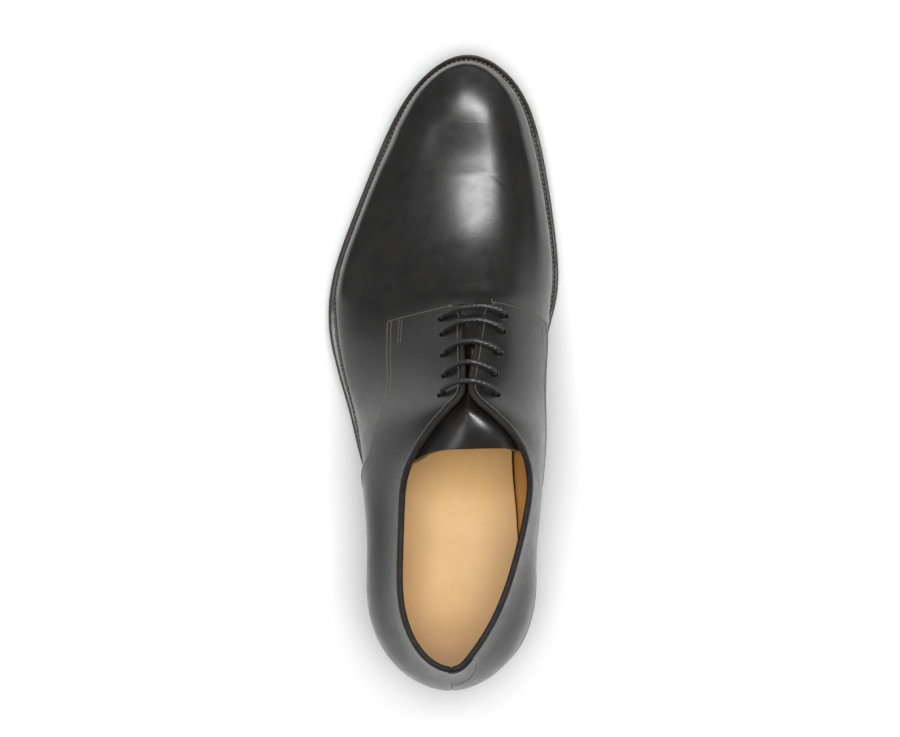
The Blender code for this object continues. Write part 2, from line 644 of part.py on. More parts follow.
def build_insole(last):
    """A leaf inside the upper, with a narrower tread within the welt's ring."""
    wide = WALL + GAP
    narrow = WALL + WELT_UNDER_WALL + GAP
    levels = (
        (narrow, -(WELT_THICK + GAP)),
        (narrow, 0.0),
        (wide, 0.0),
        (wide, INSOLE_ABOVE_WELT),
    )
    corners = Corners()
    columns = []
    for inward, lift in levels:
        left, right = edge_pairs(last, lambda place: last.ring_edge(place, inward), SOLE_STATIONS)
        rows = []
        for outer, inner in zip(left, right):
            ends = [outer] if np.hypot(*(outer - inner)) < SAME_POINT else [outer, inner]
            made = [corners.add([*spot, foot_height(spot[1]) + lift]) for spot in ends]
            rows.append((made[0], made[-1]))
        columns.append(rows)
    for first, second in ((0, 1), (1, 2), (2, 3)):
        for step in range(SOLE_STATIONS - 1):
            for side in (0, 1):
                corners.face(columns[first][step][side], columns[first][step + 1][side],
                             columns[second][step + 1][side], columns[second][step][side])
    for level in (0, 3):
        for (near_left, near_right), (far_left, far_right) in zip(columns[level], columns[level][1:]):
            corners.face(near_left, far_left, far_right, near_right)
    return make_object("insole", corners.points, corners.faces, TAN_LEATHER, 0.5)


def build_heel(last):
    """Heel stack and top lift, each a plate from the heel's back to its breast, with a hollowed front edge."""
    lift_beyond = HEEL_FLARE + LIFT_FLARE
    build_heel_plate(last, "top_lift", (lift_beyond, lambda along: 0.0), (HEEL_FLARE, lambda along: LIFT_THICK),
                     BROWN_LIFT)
    build_heel_plate(last, "heel_stack", (HEEL_FLARE, lambda along: LIFT_THICK + GAP),
                     (0.0, lambda along: underside_height(along) - GAP), DARK_EDGE)


def build_heel_plate(last, name, low, high, colour):
    corners = Corners()
    rings = []
    for beyond, level in (low, high):
        left, right = edge_pairs(last, lambda place: last.sole_edge(place, beyond), HEEL_STATIONS, BREAST_ALONG)
        breast = []
        for share in np.linspace(0, 1, BREAST_POINTS + 2)[1:-1]:
            spot = left[-1] + (right[-1] - left[-1]) * share
            breast.append(spot - np.array([0, BREAST_HOLLOW * math.sin(math.pi * share)]))
        loop = left + breast + right[:0:-1]
        rings.append([corners.add([*spot, level(spot[1])]) for spot in loop])
        for face in cap_faces(rings[-1], len(left), len(breast)):
            corners.face(*face)
    bottom, top = rings
    for spot in range(len(bottom)):
        corners.face(bottom[spot - 1], bottom[spot], top[spot], top[spot - 1])
    make_object(name, corners.points, corners.faces, colour, 0.5)


def cap_faces(loop, side_count, breast_count):
    """Strips across the heel between its two sides, and one fan along the breast."""
    total = len(loop)
    faces = []
    for step in range(side_count - 2):
        left_near, left_far = loop[step], loop[step + 1]
        right_near, right_far = loop[(total - step) % total], loop[total - step - 1]
        faces.append((left_near, left_far, right_far, right_near))
    front = [loop[spot] for spot in range(side_count - 2, side_count + breast_count + 2)]
    faces.append(front)
    return faces


def grid_normals(grid):
    """Outward direction at each point of a grid that runs across by its second index, from outer to inner side."""
    along = np.gradient(grid, axis=0)
    across = np.gradient(grid, axis=1)
    normals = np.cross(across, along)
    normals = normals / np.linalg.norm(normals, axis=2)[:, :, None]
    if normals[len(grid) // 2, grid.shape[1] // 2, 2] < 0:
        normals = -normals
    return normals


def tongue_grid(last):
    """Outer surface of the tongue, from its root under the vamp to its free end."""
    table = {name: column_of(TONGUE, TONGUE_COLUMNS, name) for name in TONGUE_COLUMNS}
    marks = np.arange(len(TONGUE))
    outer_knots = [last.station(name) for name in table["outer"]]
    inner_knots = [last.station(name) for name in table["inner"]]
    next_outer = last.station("outer collar rise")
    outer_knots[-1] += (next_outer - outer_knots[-1]) * TONGUE_TIP
    for knots in (outer_knots, inner_knots):
        knots[0] = knots[1] + (knots[0] - knots[1]) * TONGUE_ROOT
    rows = []
    for mark in np.linspace(0, marks[-1], TONGUE_ROWS):
        values = {name: float(np.interp(mark, marks, table[name])) for name in TONGUE_COLUMNS[2:]}
        side_depth = WALL + GAP + values["side_depth"] * LACE_ROOM
        middle_depth = WALL + GAP + values["middle_depth"] * LACE_ROOM
        sides = []
        tops = []
        ups = []
        for knots in (outer_knots, inner_knots):
            place = float(np.interp(mark, marks, knots))
            points, normals, length = last.wall(place)
            edge = 1 - facing_open(last, place) / length
            side = []
            for share in TONGUE_SHARES:
                spot = edge - values["under"] * TONGUE_UNDER / length * share
                depth = side_depth + (middle_depth - side_depth) * (1 - share) ** 2
                side.append(at_share(points, spot) - at_share(normals, spot) * depth)
            sides.append(side)
            tops.append(last.top(place))
            ups.append(at_share(normals, edge))
        middle = (tops[0] + tops[1]) / 2 - unit(ups[0] + ups[1]) * middle_depth
        middle[2] += values["crown"] * TONGUE_CROWN
        control = np.array([*sides[0], middle, *sides[1][::-1]])
        knots = np.concatenate([[0], np.cumsum(np.linalg.norm(np.diff(control, axis=0), axis=1))])
        curves = [spline(knots, control[:, axis], False) for axis in range(3)]
        rows.append([[curve(place) for curve in curves] for place in np.linspace(0, knots[-1], TONGUE_ACROSS)])
    return np.array(rows)


def build_tongue(last):
    outer = tongue_grid(last)
    inner = outer - grid_normals(outer) * TONGUE_THICK
    corners = Corners()
    upper_ids, lower_ids = [[[corners.add(point) for point in row] for row in grid] for grid in (outer, inner)]
    for row in range(TONGUE_ROWS - 1):
        for spot in range(TONGUE_ACROSS - 1):
            for ids in (upper_ids, lower_ids):
                corners.face(ids[row][spot], ids[row + 1][spot], ids[row + 1][spot + 1], ids[row][spot + 1])
        for spot in (0, TONGUE_ACROSS - 1):
            corners.face(upper_ids[row][spot], upper_ids[row + 1][spot], lower_ids[row + 1][spot], lower_ids[row][spot])
    for row in (0, TONGUE_ROWS - 1):
        for spot in range(TONGUE_ACROSS - 1):
            corners.face(upper_ids[row][spot], upper_ids[row][spot + 1], lower_ids[row][spot + 1], lower_ids[row][spot])
    return make_object("tongue", corners.points, corners.faces, BLACK_CALF, 0.3)


def eyelet_places(last):
    """Places of the sections that hold the eyelets, outer and inner, from the throat up."""
    start = last.station("outer throat")
    end = last.station("outer facing end")
    dense = np.linspace(start, end, DENSE)
    tops = np.array([last.top(place) for place in dense])
    walked = np.concatenate([[0], np.cumsum(np.linalg.norm(np.diff(tops, axis=0), axis=1))])
    outer = [float(np.interp(FIRST_EYELET + EYELET_PITCH * step, walked, dense)) for step in range(EYELETS)]
    return outer, inner_matches(last, outer, last.station("inner throat"), last.station("inner facing end"))


class Eyelet:
    """One eyelet: its place on the wall, the way out of the wall, and the way to the gap between the facings."""

    def __init__(self, last, place):
        self.points, self.normals, self.length = last.wall(place)
        self.edge = 1 - facing_open(last, place) / self.length
        self.share = self.edge - EYELET_TO_EDGE / self.length
        self.centre = at_share(self.points, self.share)
        self.out = unit(at_share(self.normals, self.share))
        ahead = at_share(self.points, self.share + EYELET_RADIUS / self.length) - self.centre
        self.to_gap = unit(ahead - self.out * (ahead @ self.out))

    def over(self, distance, height, to_toe):
        """A point over the wall, at a distance from the eyelet towards the gap, bowed a little to the toe."""
        share = self.share + distance / self.length
        bow = to_toe * BAR_BOW * distance / EYELET_TO_EDGE
        return at_share(self.points, share) + unit(at_share(self.normals, share)) * height + bow


def lace_route(last):
    """Middle line of the lace: each bar over the facings, and the runs under them that join one bar to the next."""
    outer_places, inner_places = eyelet_places(last)
    outer = [Eyelet(last, place) for place in outer_places]
    inner = [Eyelet(last, place) for place in inner_places]
    route = []
    for step in range(EYELETS):
        start, end = (inner, outer) if step % 2 == 0 else (outer, inner)
        if step:
            route.extend(run_under(start[step - 1], start[step]))
        low, high = max(step - 1, 0), max(step, 1)
        to_toe = unit(outer[low].centre + inner[low].centre - outer[high].centre - inner[high].centre)
        route.extend(half_bar(start[step], to_toe))
        route.extend(half_bar(end[step], to_toe)[::-1])
    return np.array(route)


def run_under(start, end):
    """The lace's run under a facing from one eyelet to the next."""
    run = unit(end.centre - start.centre)
    middle = (start.centre + end.centre) / 2 - unit(start.out + end.out) * LACE_DEPTH
    first = []
    last = []
    for along, up in RUN_START:
        first.append(start.centre - start.out * (LACE_DEPTH - up * LACE_RADIUS) + run * along * LACE_RADIUS)
        last.append(end.centre - end.out * (LACE_DEPTH - up * LACE_RADIUS) - run * along * LACE_RADIUS)
    return [*first, middle, *last[::-1]]


def half_bar(eyelet, to_toe):
    """The lace up through an eyelet and over the facing to its edge."""
    over = QUARTER_STEP + LACE_RADIUS + LACE_OVER
    climb = [
        eyelet.centre - eyelet.out * WALL,
        eyelet.centre + eyelet.out * LACE_RADIUS / 2,
        eyelet.centre + eyelet.out * (over - LACE_RADIUS * 2 / 3) + eyelet.to_gap * LACE_OVER,
    ]
    return climb + [eyelet.over(EYELET_TO_EDGE * share, over, to_toe) for share in BAR_SHARES]


def build_lace(last):
    route = lace_route(last)
    curve = bpy.data.curves.new("lace", "CURVE")
    curve.dimensions = "3D"
    curve.bevel_depth = LACE_RADIUS
    curve.bevel_resolution = 2
    curve.resolution_u = 1
    curve.use_fill_caps = True
    line = curve.splines.new("POLY")
    line.points.add(len(route) - 1)
    for spot, point in zip(line.points, route):
        spot.co = (*[float(part) for part in point], 1)
    place_object("lace", curve, BLACK_LACE, 0.6)


def cut_eyelets(last, upper):
    """Round holes through the facings."""
    outer_places, inner_places = eyelet_places(last)
    corners = Corners()
    for place in [*outer_places, *inner_places]:
        eyelet = Eyelet(last, place)
        beside = np.cross(eyelet.out, eyelet.to_gap)
        rings = []
        for height in (-EYELET_CUT_UNDER, EYELET_CUT_OVER):
            middle = eyelet.centre + eyelet.out * height
            ring = []
            for turn in np.arange(EYELET_SIDES) * 2 * math.pi / EYELET_SIDES:
                spot = eyelet.to_gap * math.cos(turn) + beside * math.sin(turn)
                ring.append(corners.add(middle + spot * EYELET_RADIUS))
            rings.append(ring)
        for spot in range(EYELET_SIDES):
            corners.face(rings[0][spot - 1], rings[0][spot], rings[1][spot], rings[1][spot - 1])
        corners.face(*rings[0][::-1])
        corners.face(*rings[1])
    cutter = make_object("eyelet_cutter", corners.points, corners.faces, BLACK_CALF, 0.3)
    cutter.hide_render = True
    cutter.display_type = "WIRE"
    cut = upper.modifiers.new("eyelets", "BOOLEAN")
    cut.operation = "DIFFERENCE"
    cut.solver = "EXACT"
    cut.object = cutter


def main():
    for thing in list(bpy.data.objects):
        bpy.data.objects.remove(thing, do_unlink=True)
    last = Last()
    build_outsole(last)
    build_welt(last)
    build_insole(last)
    build_heel(last)
    upper = build_upper(last)
    cut_eyelets(last, upper)
    build_tongue(last)
    build_lace(last)


main()
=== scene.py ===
import functools
import math
import bmesh
import bpy
import numpy as np
from mathutils import Matrix, Vector
from mathutils.bvhtree import BVHTree
from mathutils.kdtree import KDTree


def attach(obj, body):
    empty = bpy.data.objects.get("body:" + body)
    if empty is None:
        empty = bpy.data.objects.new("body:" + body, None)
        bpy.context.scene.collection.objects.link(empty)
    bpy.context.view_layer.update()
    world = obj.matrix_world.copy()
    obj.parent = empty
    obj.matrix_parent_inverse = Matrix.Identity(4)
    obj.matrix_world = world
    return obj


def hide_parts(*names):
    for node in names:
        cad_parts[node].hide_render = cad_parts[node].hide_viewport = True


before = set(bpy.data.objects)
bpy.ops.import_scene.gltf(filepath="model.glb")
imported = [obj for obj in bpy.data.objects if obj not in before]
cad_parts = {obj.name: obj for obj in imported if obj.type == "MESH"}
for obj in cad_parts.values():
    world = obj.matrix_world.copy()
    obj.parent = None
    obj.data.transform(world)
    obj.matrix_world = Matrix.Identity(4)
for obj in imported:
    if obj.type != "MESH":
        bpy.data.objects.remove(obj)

bl_info = {
    "name": "Derby shoe",
    "version": (1, 0, 0),
    "blender": (4, 5, 0),
    "location": "3D View > Sidebar > Derby",
    "description": "Builds a left derby shoe with its welt, sole, stacked heel, tongue, lace and stitching",
    "category": "Add Mesh",
}

# Sizes of the last
LENGTH = 0.298
BALL_WIDTH = 0.109
INSTEP_RISE = 0.085
HEEL_HEIGHT = 0.0215
TOE_SPRING = 0.0135

# Thicknesses and clearances
WALL = 0.0022
QUARTER_STEP = 0.0014
WELT_THICK = 0.0028
OUTSOLE_THICK = 0.0042
LIFT_THICK = 0.006
INSOLE_ABOVE_WELT = 0.002
WELT_UNDER_WALL = 0.0012
TONGUE_THICK = 0.0024
GAP = 0.0003

# Facings
FACING_GAP_TOP = 0.0054
FACING_GAP_THROAT = 0.0100
EYELETS = 5
FIRST_EYELET = 0.0115
EYELET_PITCH = 0.0114
EYELET_RADIUS = 0.00225
EYELET_TO_EDGE = 0.0105
EYELET_CUT_OVER = 0.0028

# Lace: its clearance over and under the wall
LACE_RADIUS = 0.0012
LACE_OVER = 0.0005
LACE_UNDER = 0.0001
LACE_DEPTH = WALL + LACE_UNDER + LACE_RADIUS
# Points of a bar between the eyelet and the facing's edge, shares of EYELET_TO_EDGE
BAR_SHARES = (0.18, 0.38, 0.62, 0.86, 1.05)
# Points where a run under the facing leaves an eyelet: along the run and up to the wall, shares of the radius
RUN_START = ((0.75, 0.33), (2.20, 0.00))

# Heel
BREAST_ALONG = 0.0398
BREAST_HOLLOW = 0.0025
HEEL_FLARE = 0.0016
LIFT_FLARE = 0.0004

# Height of the sole's underside: share of the length, share of the heel's height, share of the toe spring
UNDERSIDE_COLUMNS = ("along", "heel", "spring")
UNDERSIDE = (
    (-0.150, 1.110, 0.000),
    (-0.040, 0.930, 0.000),
    (0.030, 0.837, 0.000),
    (0.112, 0.698, 0.000),
    (0.185, 0.567, 0.000),
    (0.232, 0.497, 0.000),
    (0.285, 0.395, 0.000),
    (0.339, 0.260, 0.000),
    (0.393, 0.112, 0.000),
    (0.432, 0.028, 0.000),
    (0.456, 0.000, 0.000),
    (0.525, 0.000, 0.000),
    (0.581, 0.000, 0.060),
    (0.643, 0.000, 0.163),
    (0.688, 0.000, 0.252),
    (0.732, 0.000, 0.355),
    (0.768, 0.000, 0.511),
    (0.809, 0.000, 0.763),
    (0.839, 0.000, 1.000),
    (0.870, 0.000, 1.330),
)

# Sections round the last, from the heel's back along the outer side to the toe and back along the inner side.
# across, along: foot edge, shares of BALL_WIDTH and LENGTH. turn: the way the section faces, in degrees.
# top_across, top_along, rise: its top, rise a share of INSTEP_RISE over the foot edge. swell, swell_at: how
# far the side stands out, a share of BALL_WIDTH, and at what share of the rise. lean: angle of the wall's top.
# low, high: fullness of the curve under and over the widest point. ledge: welt beyond the foot edge.
SECTION_COLUMNS = (
    "name", "across", "along", "turn", "top_across", "top_along", "rise",
    "swell", "swell_at", "lean", "low", "high", "ledge",
)
SECTIONS = (
    ("heel back", 0.005, -0.119, 270, 0.034, -0.081, 0.715, 0.020, 0.22, 74, 0.45, 0.40, 0.026),
    ("outer heel corner", -0.202, -0.088, 228, -0.080, -0.060, 0.707, 0.014, 0.23, 74, 0.45, 0.43, 0.026),
    ("outer heel side", -0.292, -0.020, 190, -0.162, -0.008, 0.672, 0.032, 0.27, 72, 0.45, 0.45, 0.026),
    ("outer seat", -0.310, 0.088, 180, -0.206, 0.088, 0.603, 0.052, 0.36, 68, 0.45, 0.50, 0.026),
    ("outer waist", -0.326, 0.154, 180, -0.206, 0.168, 0.635, 0.058, 0.34, 64, 0.45, 0.48, 0.026),
    ("outer collar rise", -0.349, 0.198, 180, -0.165, 0.221, 0.740, 0.046, 0.30, 58, 0.45, 0.42, 0.028),
    ("outer shoulder", -0.372, 0.232, 180, -0.080, 0.265, 0.857, 0.030, 0.25, 46, 0.45, 0.36, 0.032),
    ("outer facing end", -0.390, 0.265, 180, 0.012, 0.301, 0.945, 0.018, 0.20, 32, 0.45, 0.29, 0.037),
    ("outer facing top", -0.411, 0.302, 180, 0.098, 0.328, 0.968, 0.012, 0.16, 22, 0.45, 0.17, 0.042),
    ("outer facing", -0.454, 0.356, 180, 0.103, 0.397, 0.838, 0.010, 0.15, 21, 0.45, 0.12, 0.044),
    ("outer low facing", -0.470, 0.380, 180, 0.106, 0.441, 0.760, 0.010, 0.16, 20, 0.45, 0.17, 0.046),
    ("outer throat", -0.480, 0.399, 180, 0.108, 0.474, 0.618, 0.011, 0.18, 14, 0.45, 0.22, 0.050),
    ("outer flex", -0.492, 0.436, 180, 0.114, 0.503, 0.577, 0.012, 0.20, 6, 0.45, 0.27, 0.054),
    ("outer ball", -0.492, 0.473, 180, 0.120, 0.530, 0.542, 0.012, 0.20, 3, 0.45, 0.30, 0.053),
    ("outer vamp", -0.419, 0.577, 180, 0.119, 0.604, 0.443, 0.012, 0.23, 0, 0.45, 0.38, 0.048),
    ("outer toe side", -0.320, 0.671, 180, 0.116, 0.681, 0.379, 0.012, 0.27, 0, 0.48, 0.46, 0.044),
    ("outer toe corner", -0.232, 0.745, 180, 0.110, 0.745, 0.360, 0.012, 0.30, 0, 0.50, 0.52, 0.042),
    ("outer toe turn", -0.112, 0.809, 143, 0.110, 0.745, 0.285, 0.013, 0.36, 0, 0.50, 0.58, 0.040),
    ("toe tip", 0.072, 0.842, 98, 0.110, 0.745, 0.238, 0.014, 0.36, 0, 0.50, 0.62, 0.043),
    ("inner toe turn", 0.238, 0.806, 53, 0.110, 0.745, 0.285, 0.013, 0.36, 0, 0.50, 0.58, 0.040),
    ("inner toe corner", 0.319, 0.745, 0, 0.110, 0.745, 0.360, 0.012, 0.30, 0, 0.50, 0.54, 0.038),
    ("inner toe side", 0.363, 0.671, 0, 0.116, 0.681, 0.379, 0.012, 0.28, 0, 0.50, 0.52, 0.038),
    ("inner vamp", 0.401, 0.577, 0, 0.119, 0.604, 0.443, 0.013, 0.28, 0, 0.50, 0.52, 0.037),
    ("inner ball", 0.407, 0.473, 0, 0.120, 0.530, 0.542, 0.020, 0.31, -3, 0.50, 0.54, 0.034),
    ("inner flex", 0.385, 0.436, 0, 0.114, 0.503, 0.577, 0.033, 0.36, -6, 0.50, 0.52, 0.031),
    ("inner throat", 0.362, 0.399, 0, 0.108, 0.474, 0.618, 0.052, 0.40, -10, 0.50, 0.50, 0.028),
    ("inner low facing", 0.345, 0.380, 0, 0.106, 0.441, 0.760, 0.064, 0.36, -12, 0.50, 0.46, 0.027),
    ("inner facing", 0.325, 0.356, 0, 0.103, 0.397, 0.838, 0.080, 0.34, -8, 0.50, 0.44, 0.026),
    ("inner facing top", 0.289, 0.302, 0, 0.098, 0.326, 0.980, 0.110, 0.31, 2, 0.50, 0.42, 0.026),
    ("inner facing end", 0.278, 0.265, 0, 0.218, 0.292, 0.985, 0.122, 0.32, 36, 0.50, 0.44, 0.026),
    ("inner shoulder", 0.276, 0.232, 0, 0.312, 0.250, 0.865, 0.120, 0.34, 64, 0.50, 0.46, 0.026),
    ("inner collar rise", 0.280, 0.198, 0, 0.343, 0.207, 0.730, 0.104, 0.37, 76, 0.50, 0.45, 0.026),
    ("inner waist", 0.292, 0.154, 0, 0.338, 0.163, 0.675, 0.082, 0.37, 78, 0.50, 0.45, 0.026),
    ("inner seat", 0.305, 0.088, 0, 0.293, 0.086, 0.655, 0.052, 0.36, 78, 0.45, 0.45, 0.026),
    ("inner heel side", 0.298, -0.020, -10, 0.196, -0.012, 0.700, 0.032, 0.27, 75, 0.45, 0.45, 0.026),
    ("inner heel corner", 0.206, -0.088, -48, 0.112, -0.060, 0.718, 0.014, 0.23, 75, 0.45, 0.43, 0.026),
)

# Lower edge of the quarters over the vamp, seen from the side: shares of LENGTH and of INSTEP_RISE
SEAM_COLUMNS = ("along", "height")
SEAM = (
    (0.1745, 0.216),
    (0.185, 0.347),
    (0.195, 0.435),
    (0.215, 0.506),
    (0.238, 0.541),
    (0.262, 0.559),
    (0.289, 0.565),
    (0.326, 0.553),
    (0.369, 0.518),
    (0.403, 0.482),
    (0.450, 0.470),
)

# Tongue: how far it reaches under the facings, the room under them for the lace, how far its free end arches,
# and where it starts and ends between two sections
TONGUE_UNDER = 0.020
LACE_ROOM = 0.0030
TONGUE_CROWN = 0.0105
TONGUE_ROOT = 0.55
TONGUE_TIP = 0.42

# Rows of the tongue from its root under the vamp to its end: the sections it lies under, how far it reaches
# under the wall's edge as a share of TONGUE_UNDER, its depth under the wall at its sides and in its middle as
# shares of LACE_ROOM, and how far the middle arches up as a share of TONGUE_CROWN
TONGUE_COLUMNS = ("outer", "inner", "under", "side_depth", "middle_depth", "crown")
TONGUE = (
    ("outer flex", "inner flex", 0.45, 0.03, 0.03, 0.00),
    ("outer throat", "inner throat", 0.75, 0.60, 0.07, 0.00),
    ("outer low facing", "inner low facing", 0.90, 1.00, 0.37, 0.00),
    ("outer facing", "inner facing", 1.00, 1.03, 0.50, 0.00),
    ("outer facing top", "inner facing top", 1.00, 0.97, 0.50, 0.00),
    ("outer facing end", "inner facing end", 0.65, 0.37, 0.37, 0.43),
    ("outer shoulder", "inner shoulder", 0.30, -0.10, -0.10, 1.00),
)

# Fineness of the surface and of the pieces' grids
CURVE_POINTS = 129
SECTION_SAMPLES = 300
SKIN_COLUMNS = 1800
# Sections whose turn is drawn out, and the share under the rim over which that fades
EASED_AT = (
    ("outer throat", 1e-7), ("inner throat", 1e-7), ("outer facing top", 0.35), ("inner facing top", 0.35),
    ("outer shoulder", 0.35), ("inner shoulder", 0.35),
)
# Easing round the foot: reach on both sides of a section, rounds, and step in columns
EASE_REACH = 0.030
EASE_ROUNDS = 22
EASE_STEP = 6
# Easing up the sections round the toe: reach round the foot, step in rows, share of a section that fades at
# its foot and rim, and rounds
TOE_EASE_REACH = 0.140
TOE_EASE_STEP = 3
TOE_EASE_HOLD = 0.07
TOE_EASE_ROUNDS = 14
# Easing across the toe's tip: reach round the foot, step in columns, and rounds
TOE_TIP_REACH = 0.030
TOE_TIP_STEP = 2
TOE_TIP_ROUNDS = 12
# Outer waist drawn in: its place along the shoe, reach, the height from which it is full, and how far
WAIST_AT = 0.047
WAIST_REACH = 0.062
WAIST_HIGH = 0.045
WAIST_DRAWN = 0.0036
TURN_STEP = 0.001
SAME_POINT = 1e-7
MERGE_DISTANCE = 2e-6
DENSE = 400
VAMP_STATIONS = 120
TOE_STATIONS = 60
SIDE_ROWS = 64
RIDGE_REACH = 7
RIDGE_SMOOTHING = 12
# Softened top of the forepart: grid of places, shifts that keep a place off the mesh's own lines, and how far
# an edge cell reaches past the last place, in cells
SOFT_CELL = 0.001
SOFT_SHIFTS = (0.00003, -0.00007, 0.00013)
SOFT_LAST = 1.001
SOFT_HALF = 0.055
# Rows beside the ridge that count as level, reach of the softening, slope at which it ends and begins, and
# how it begins at the rear: over a distance, and after how many of those
SOFT_LEVEL = 14
SOFT_REACH = 0.0062
SOFT_STEEP = 0.40
SOFT_BLEND = 0.30
SOFT_FRONT = 0.012
SOFT_REAR = 1.5
WING_COLUMNS = 110
QUARTER_COLUMNS = 280
QUARTER_ROWS = 62
LINING_ROWS = 40
LINING_COLUMNS = 140
EYELET_SIDES = 28
TONGUE_SHARES = (1.0, 0.75, 0.5, 0.25, 0.1)
TONGUE_ACROSS = 61
TONGUE_ALONG = 71
SOLE_PAIRS = 220
PLATE_ACROSS = 9
WELT_STATIONS = 640
HEEL_SIDE = 180
HEEL_BREAST = 60
HEEL_LID_RINGS = (1, 0.66, 0.33, 0)
BINDING_TURNS = 11
LACE_SIDES = 20
LACE_STEP = 0.0004
# Share of each stretch that is cut off a line's corners
CORNER_CUT = 0.25

# How the upper's leathers are cut and laid
SIDES = ("outer", "inner")
VAMP_THICK = 0.0010
VAMP_REAR = 0.012
VAMP_TUCK = 0.010
LINING_THICK = 0.0006
LINING_SHORT = 0.0016
LINING_FACING = 0.006
EDGE_ROUND = 0.0004
EDGE_REACH = 3
FACING_ROUND = 0.0085
FACING_SQUEEZE = 0.65
CORNER_ROUND = 0.0015
BACK_SEAM_DEEP = 0.0007

# Collar binding: thickness, how deep it sits on the edge and how deep the edge sits in it as shares of its
# half width, the share of its thickness left at its ends, depth outside and inside, and the deeper heel part:
# dark binding leather carried down inside the heel's back as painted shade
BINDING_THICK = 0.0002
BINDING_SEAT = 0.45
BINDING_CORE = 1.5
BINDING_END = 0.3
BINDING_OUTSIDE = 0.0004
BINDING_INSIDE = 0.0014
PAINTED_HEEL_SHADE = 0.0016
PAINTED_HEEL_SHADE_BLEND = 0.004
BINDING_ON_VAMP = 0.010

# Black backing of the facings: how far it reaches from the edge, its depth under the wall and its thickness
BACKING_WIDE = 0.022
BACKING_EDGE = 0.0012
BACKING_DEEP = 0.0001
BACKING_THICK = 0.0003
BACKING_COLUMNS = 80
BACKING_ROWS = 24

# Lower edge of the outer quarter, seen from the side: shares of LENGTH and of INSTEP_RISE over the ground
OUTER_SEAM = (
    (0.1745, 0.216),
    (0.186, 0.350),
    (0.203, 0.480),
    (0.221, 0.600),
    (0.240, 0.675),
    (0.262, 0.712),
    (0.289, 0.715),
    (0.318, 0.680),
    (0.349, 0.628),
    (0.379, 0.585),
    (0.410, 0.550),
    (0.432, 0.522),
    (0.450, 0.505),
)

# Back tab: reach to each side of the back seam, depth under the rim, thickness
TAB_OUTER = 0.003
TAB_INNER = 0.022
TAB_DEEP = 0.026
TAB_THICK = 0.0008
# Where the tab starts under the rim, a share of its depth
TAB_START = 0.04
TAB_EDGE = 0.0004
TAB_COLUMNS = 70
TAB_ROWS = 36
TAB_ROW_AT = 0.86
TAB_ROW_ENDS = 6

# Creases of the vamp: middle (shares of BALL_WIDTH and LENGTH), turn in degrees, reach, width and bow as
# shares of BALL_WIDTH, and rise as a share of CREASE
CREASE = 0.00045
FOLDS = (
    (0.150, 0.684, 4, 0.200, 0.030, 0.00, 0.18),
    (0.150, 0.666, 4, 0.170, 0.020, 0.00, -0.22),
    (0.215, 0.663, -8, 0.060, 0.005, 0.10, -0.20),
    (0.225, 0.654, -22, 0.050, 0.005, 0.12, -0.18),
    (0.245, 0.645, -35, 0.045, 0.005, 0.10, -0.15),
)

# Stitch rows: distances from the leather's edges, thread sizes and how deep the thread lies
SEAM_ROWS = (0.0013, 0.0036)
RIM_ROW = 0.0024
TACK_ROWS = (0.0085, 0.0102)
TACK_START = 0.0015
TACK_LENGTH = 0.0115
ROW_STEP = 0.0003
ROW_TURN = 0.0026
ROW_TROUGH = 0.00035
ROW_DEPTH = 0.0001
BACK_SEAM_PRESSED = 0.0005
STITCH_FILL = 0.82
STITCH_SUNK = -0.00002
THREAD_WIDTH = 0.00052
THREAD_HEIGHT = 0.00048
WELT_THREAD = 0.0010
WELT_ROW_AT = 0.46
WELT_STITCH_RISE = 0.12

# Sole and heel edges: profiles from the underside round the edge, as shares of each piece's thickness
OUTSOLE_EDGE = (
    (1.50, 0.00), (0.30, 0.00), (0.10, 0.04), (0.02, 0.13), (0.00, 0.30), (0.00, 0.72), (0.03, 0.90),
    (0.12, 1.00), (1.00, 1.00),
)
# Welt: share of the ledge from the foot edge (-1 for the inner edge), distance drawn in, height as a share
WELT_EDGE = (
    (-1, 0, 0.0), (1.0, 0.0006, 0.0), (1.0, 0.0001, 0.12), (1.0, 0.0, 0.35), (1.0, 0.0, 0.75),
    (1.0, 0.00015, 0.93), (1.0, 0.0005, 1.0), (0.62, 0, 1.0), (0.52, 0, 0.96), (0.46, 0, 0.93),
    (0.40, 0, 0.96), (0.30, 0, 1.0), (0.0, 0, 1.0), (-1, 0, 1.0),
)
SOCK_EDGE = (
    (0.0005, 0.0001), (0.0, 0.0002), (0.0, 0.0012), (0.0006, 0.0013), (0.0020, 0.0010), (0.0060, 0.0008),
)
LIFTS = 3
LIFT_LINE = 0.00016
LIFT_EDGE = ((0.0, 1.0), (0.05, 0.25), (0.09, 0.0), (0.5, 0.0), (0.91, 0.0), (0.95, 0.25), (1.0, 1.0))
TOP_LIFT_EDGE = ((0.0, 0.12), (0.03, 0.04), (0.10, 0.0), (0.5, 0.0), (0.93, 0.0), (0.98, 0.02), (1.0, 0.06))

# Seam of the lining on the inner side: distances back from the heel, and the share up the section at its foot
LINING_SEAM_LOW = 0.165
LINING_SEAM_TOP = 0.135
LINING_SEAM_FROM = 0.30
LINING_SEAM_RADIUS = 0.00025
LINING_SEAM_SIDES = 6
SEAM_POINTS = 60

# Free end of the tongue: how much further it reaches at its outer and inner corner, shares of its length
TONGUE_OUTER_CORNER = 0.080
TONGUE_INNER_CORNER = 0.025
CORNER_ACROSS = 0.45

# Lace: how far each bar bows to the toe, from the throat up
BAR_BOWS = (0.0026, 0.0038, 0.0042, 0.0045, 0.0052)
# Lace: strands that wind each way, and the length along the lace in which they wind once
LACE_STRANDS = 6
LACE_LAY = 0.0022

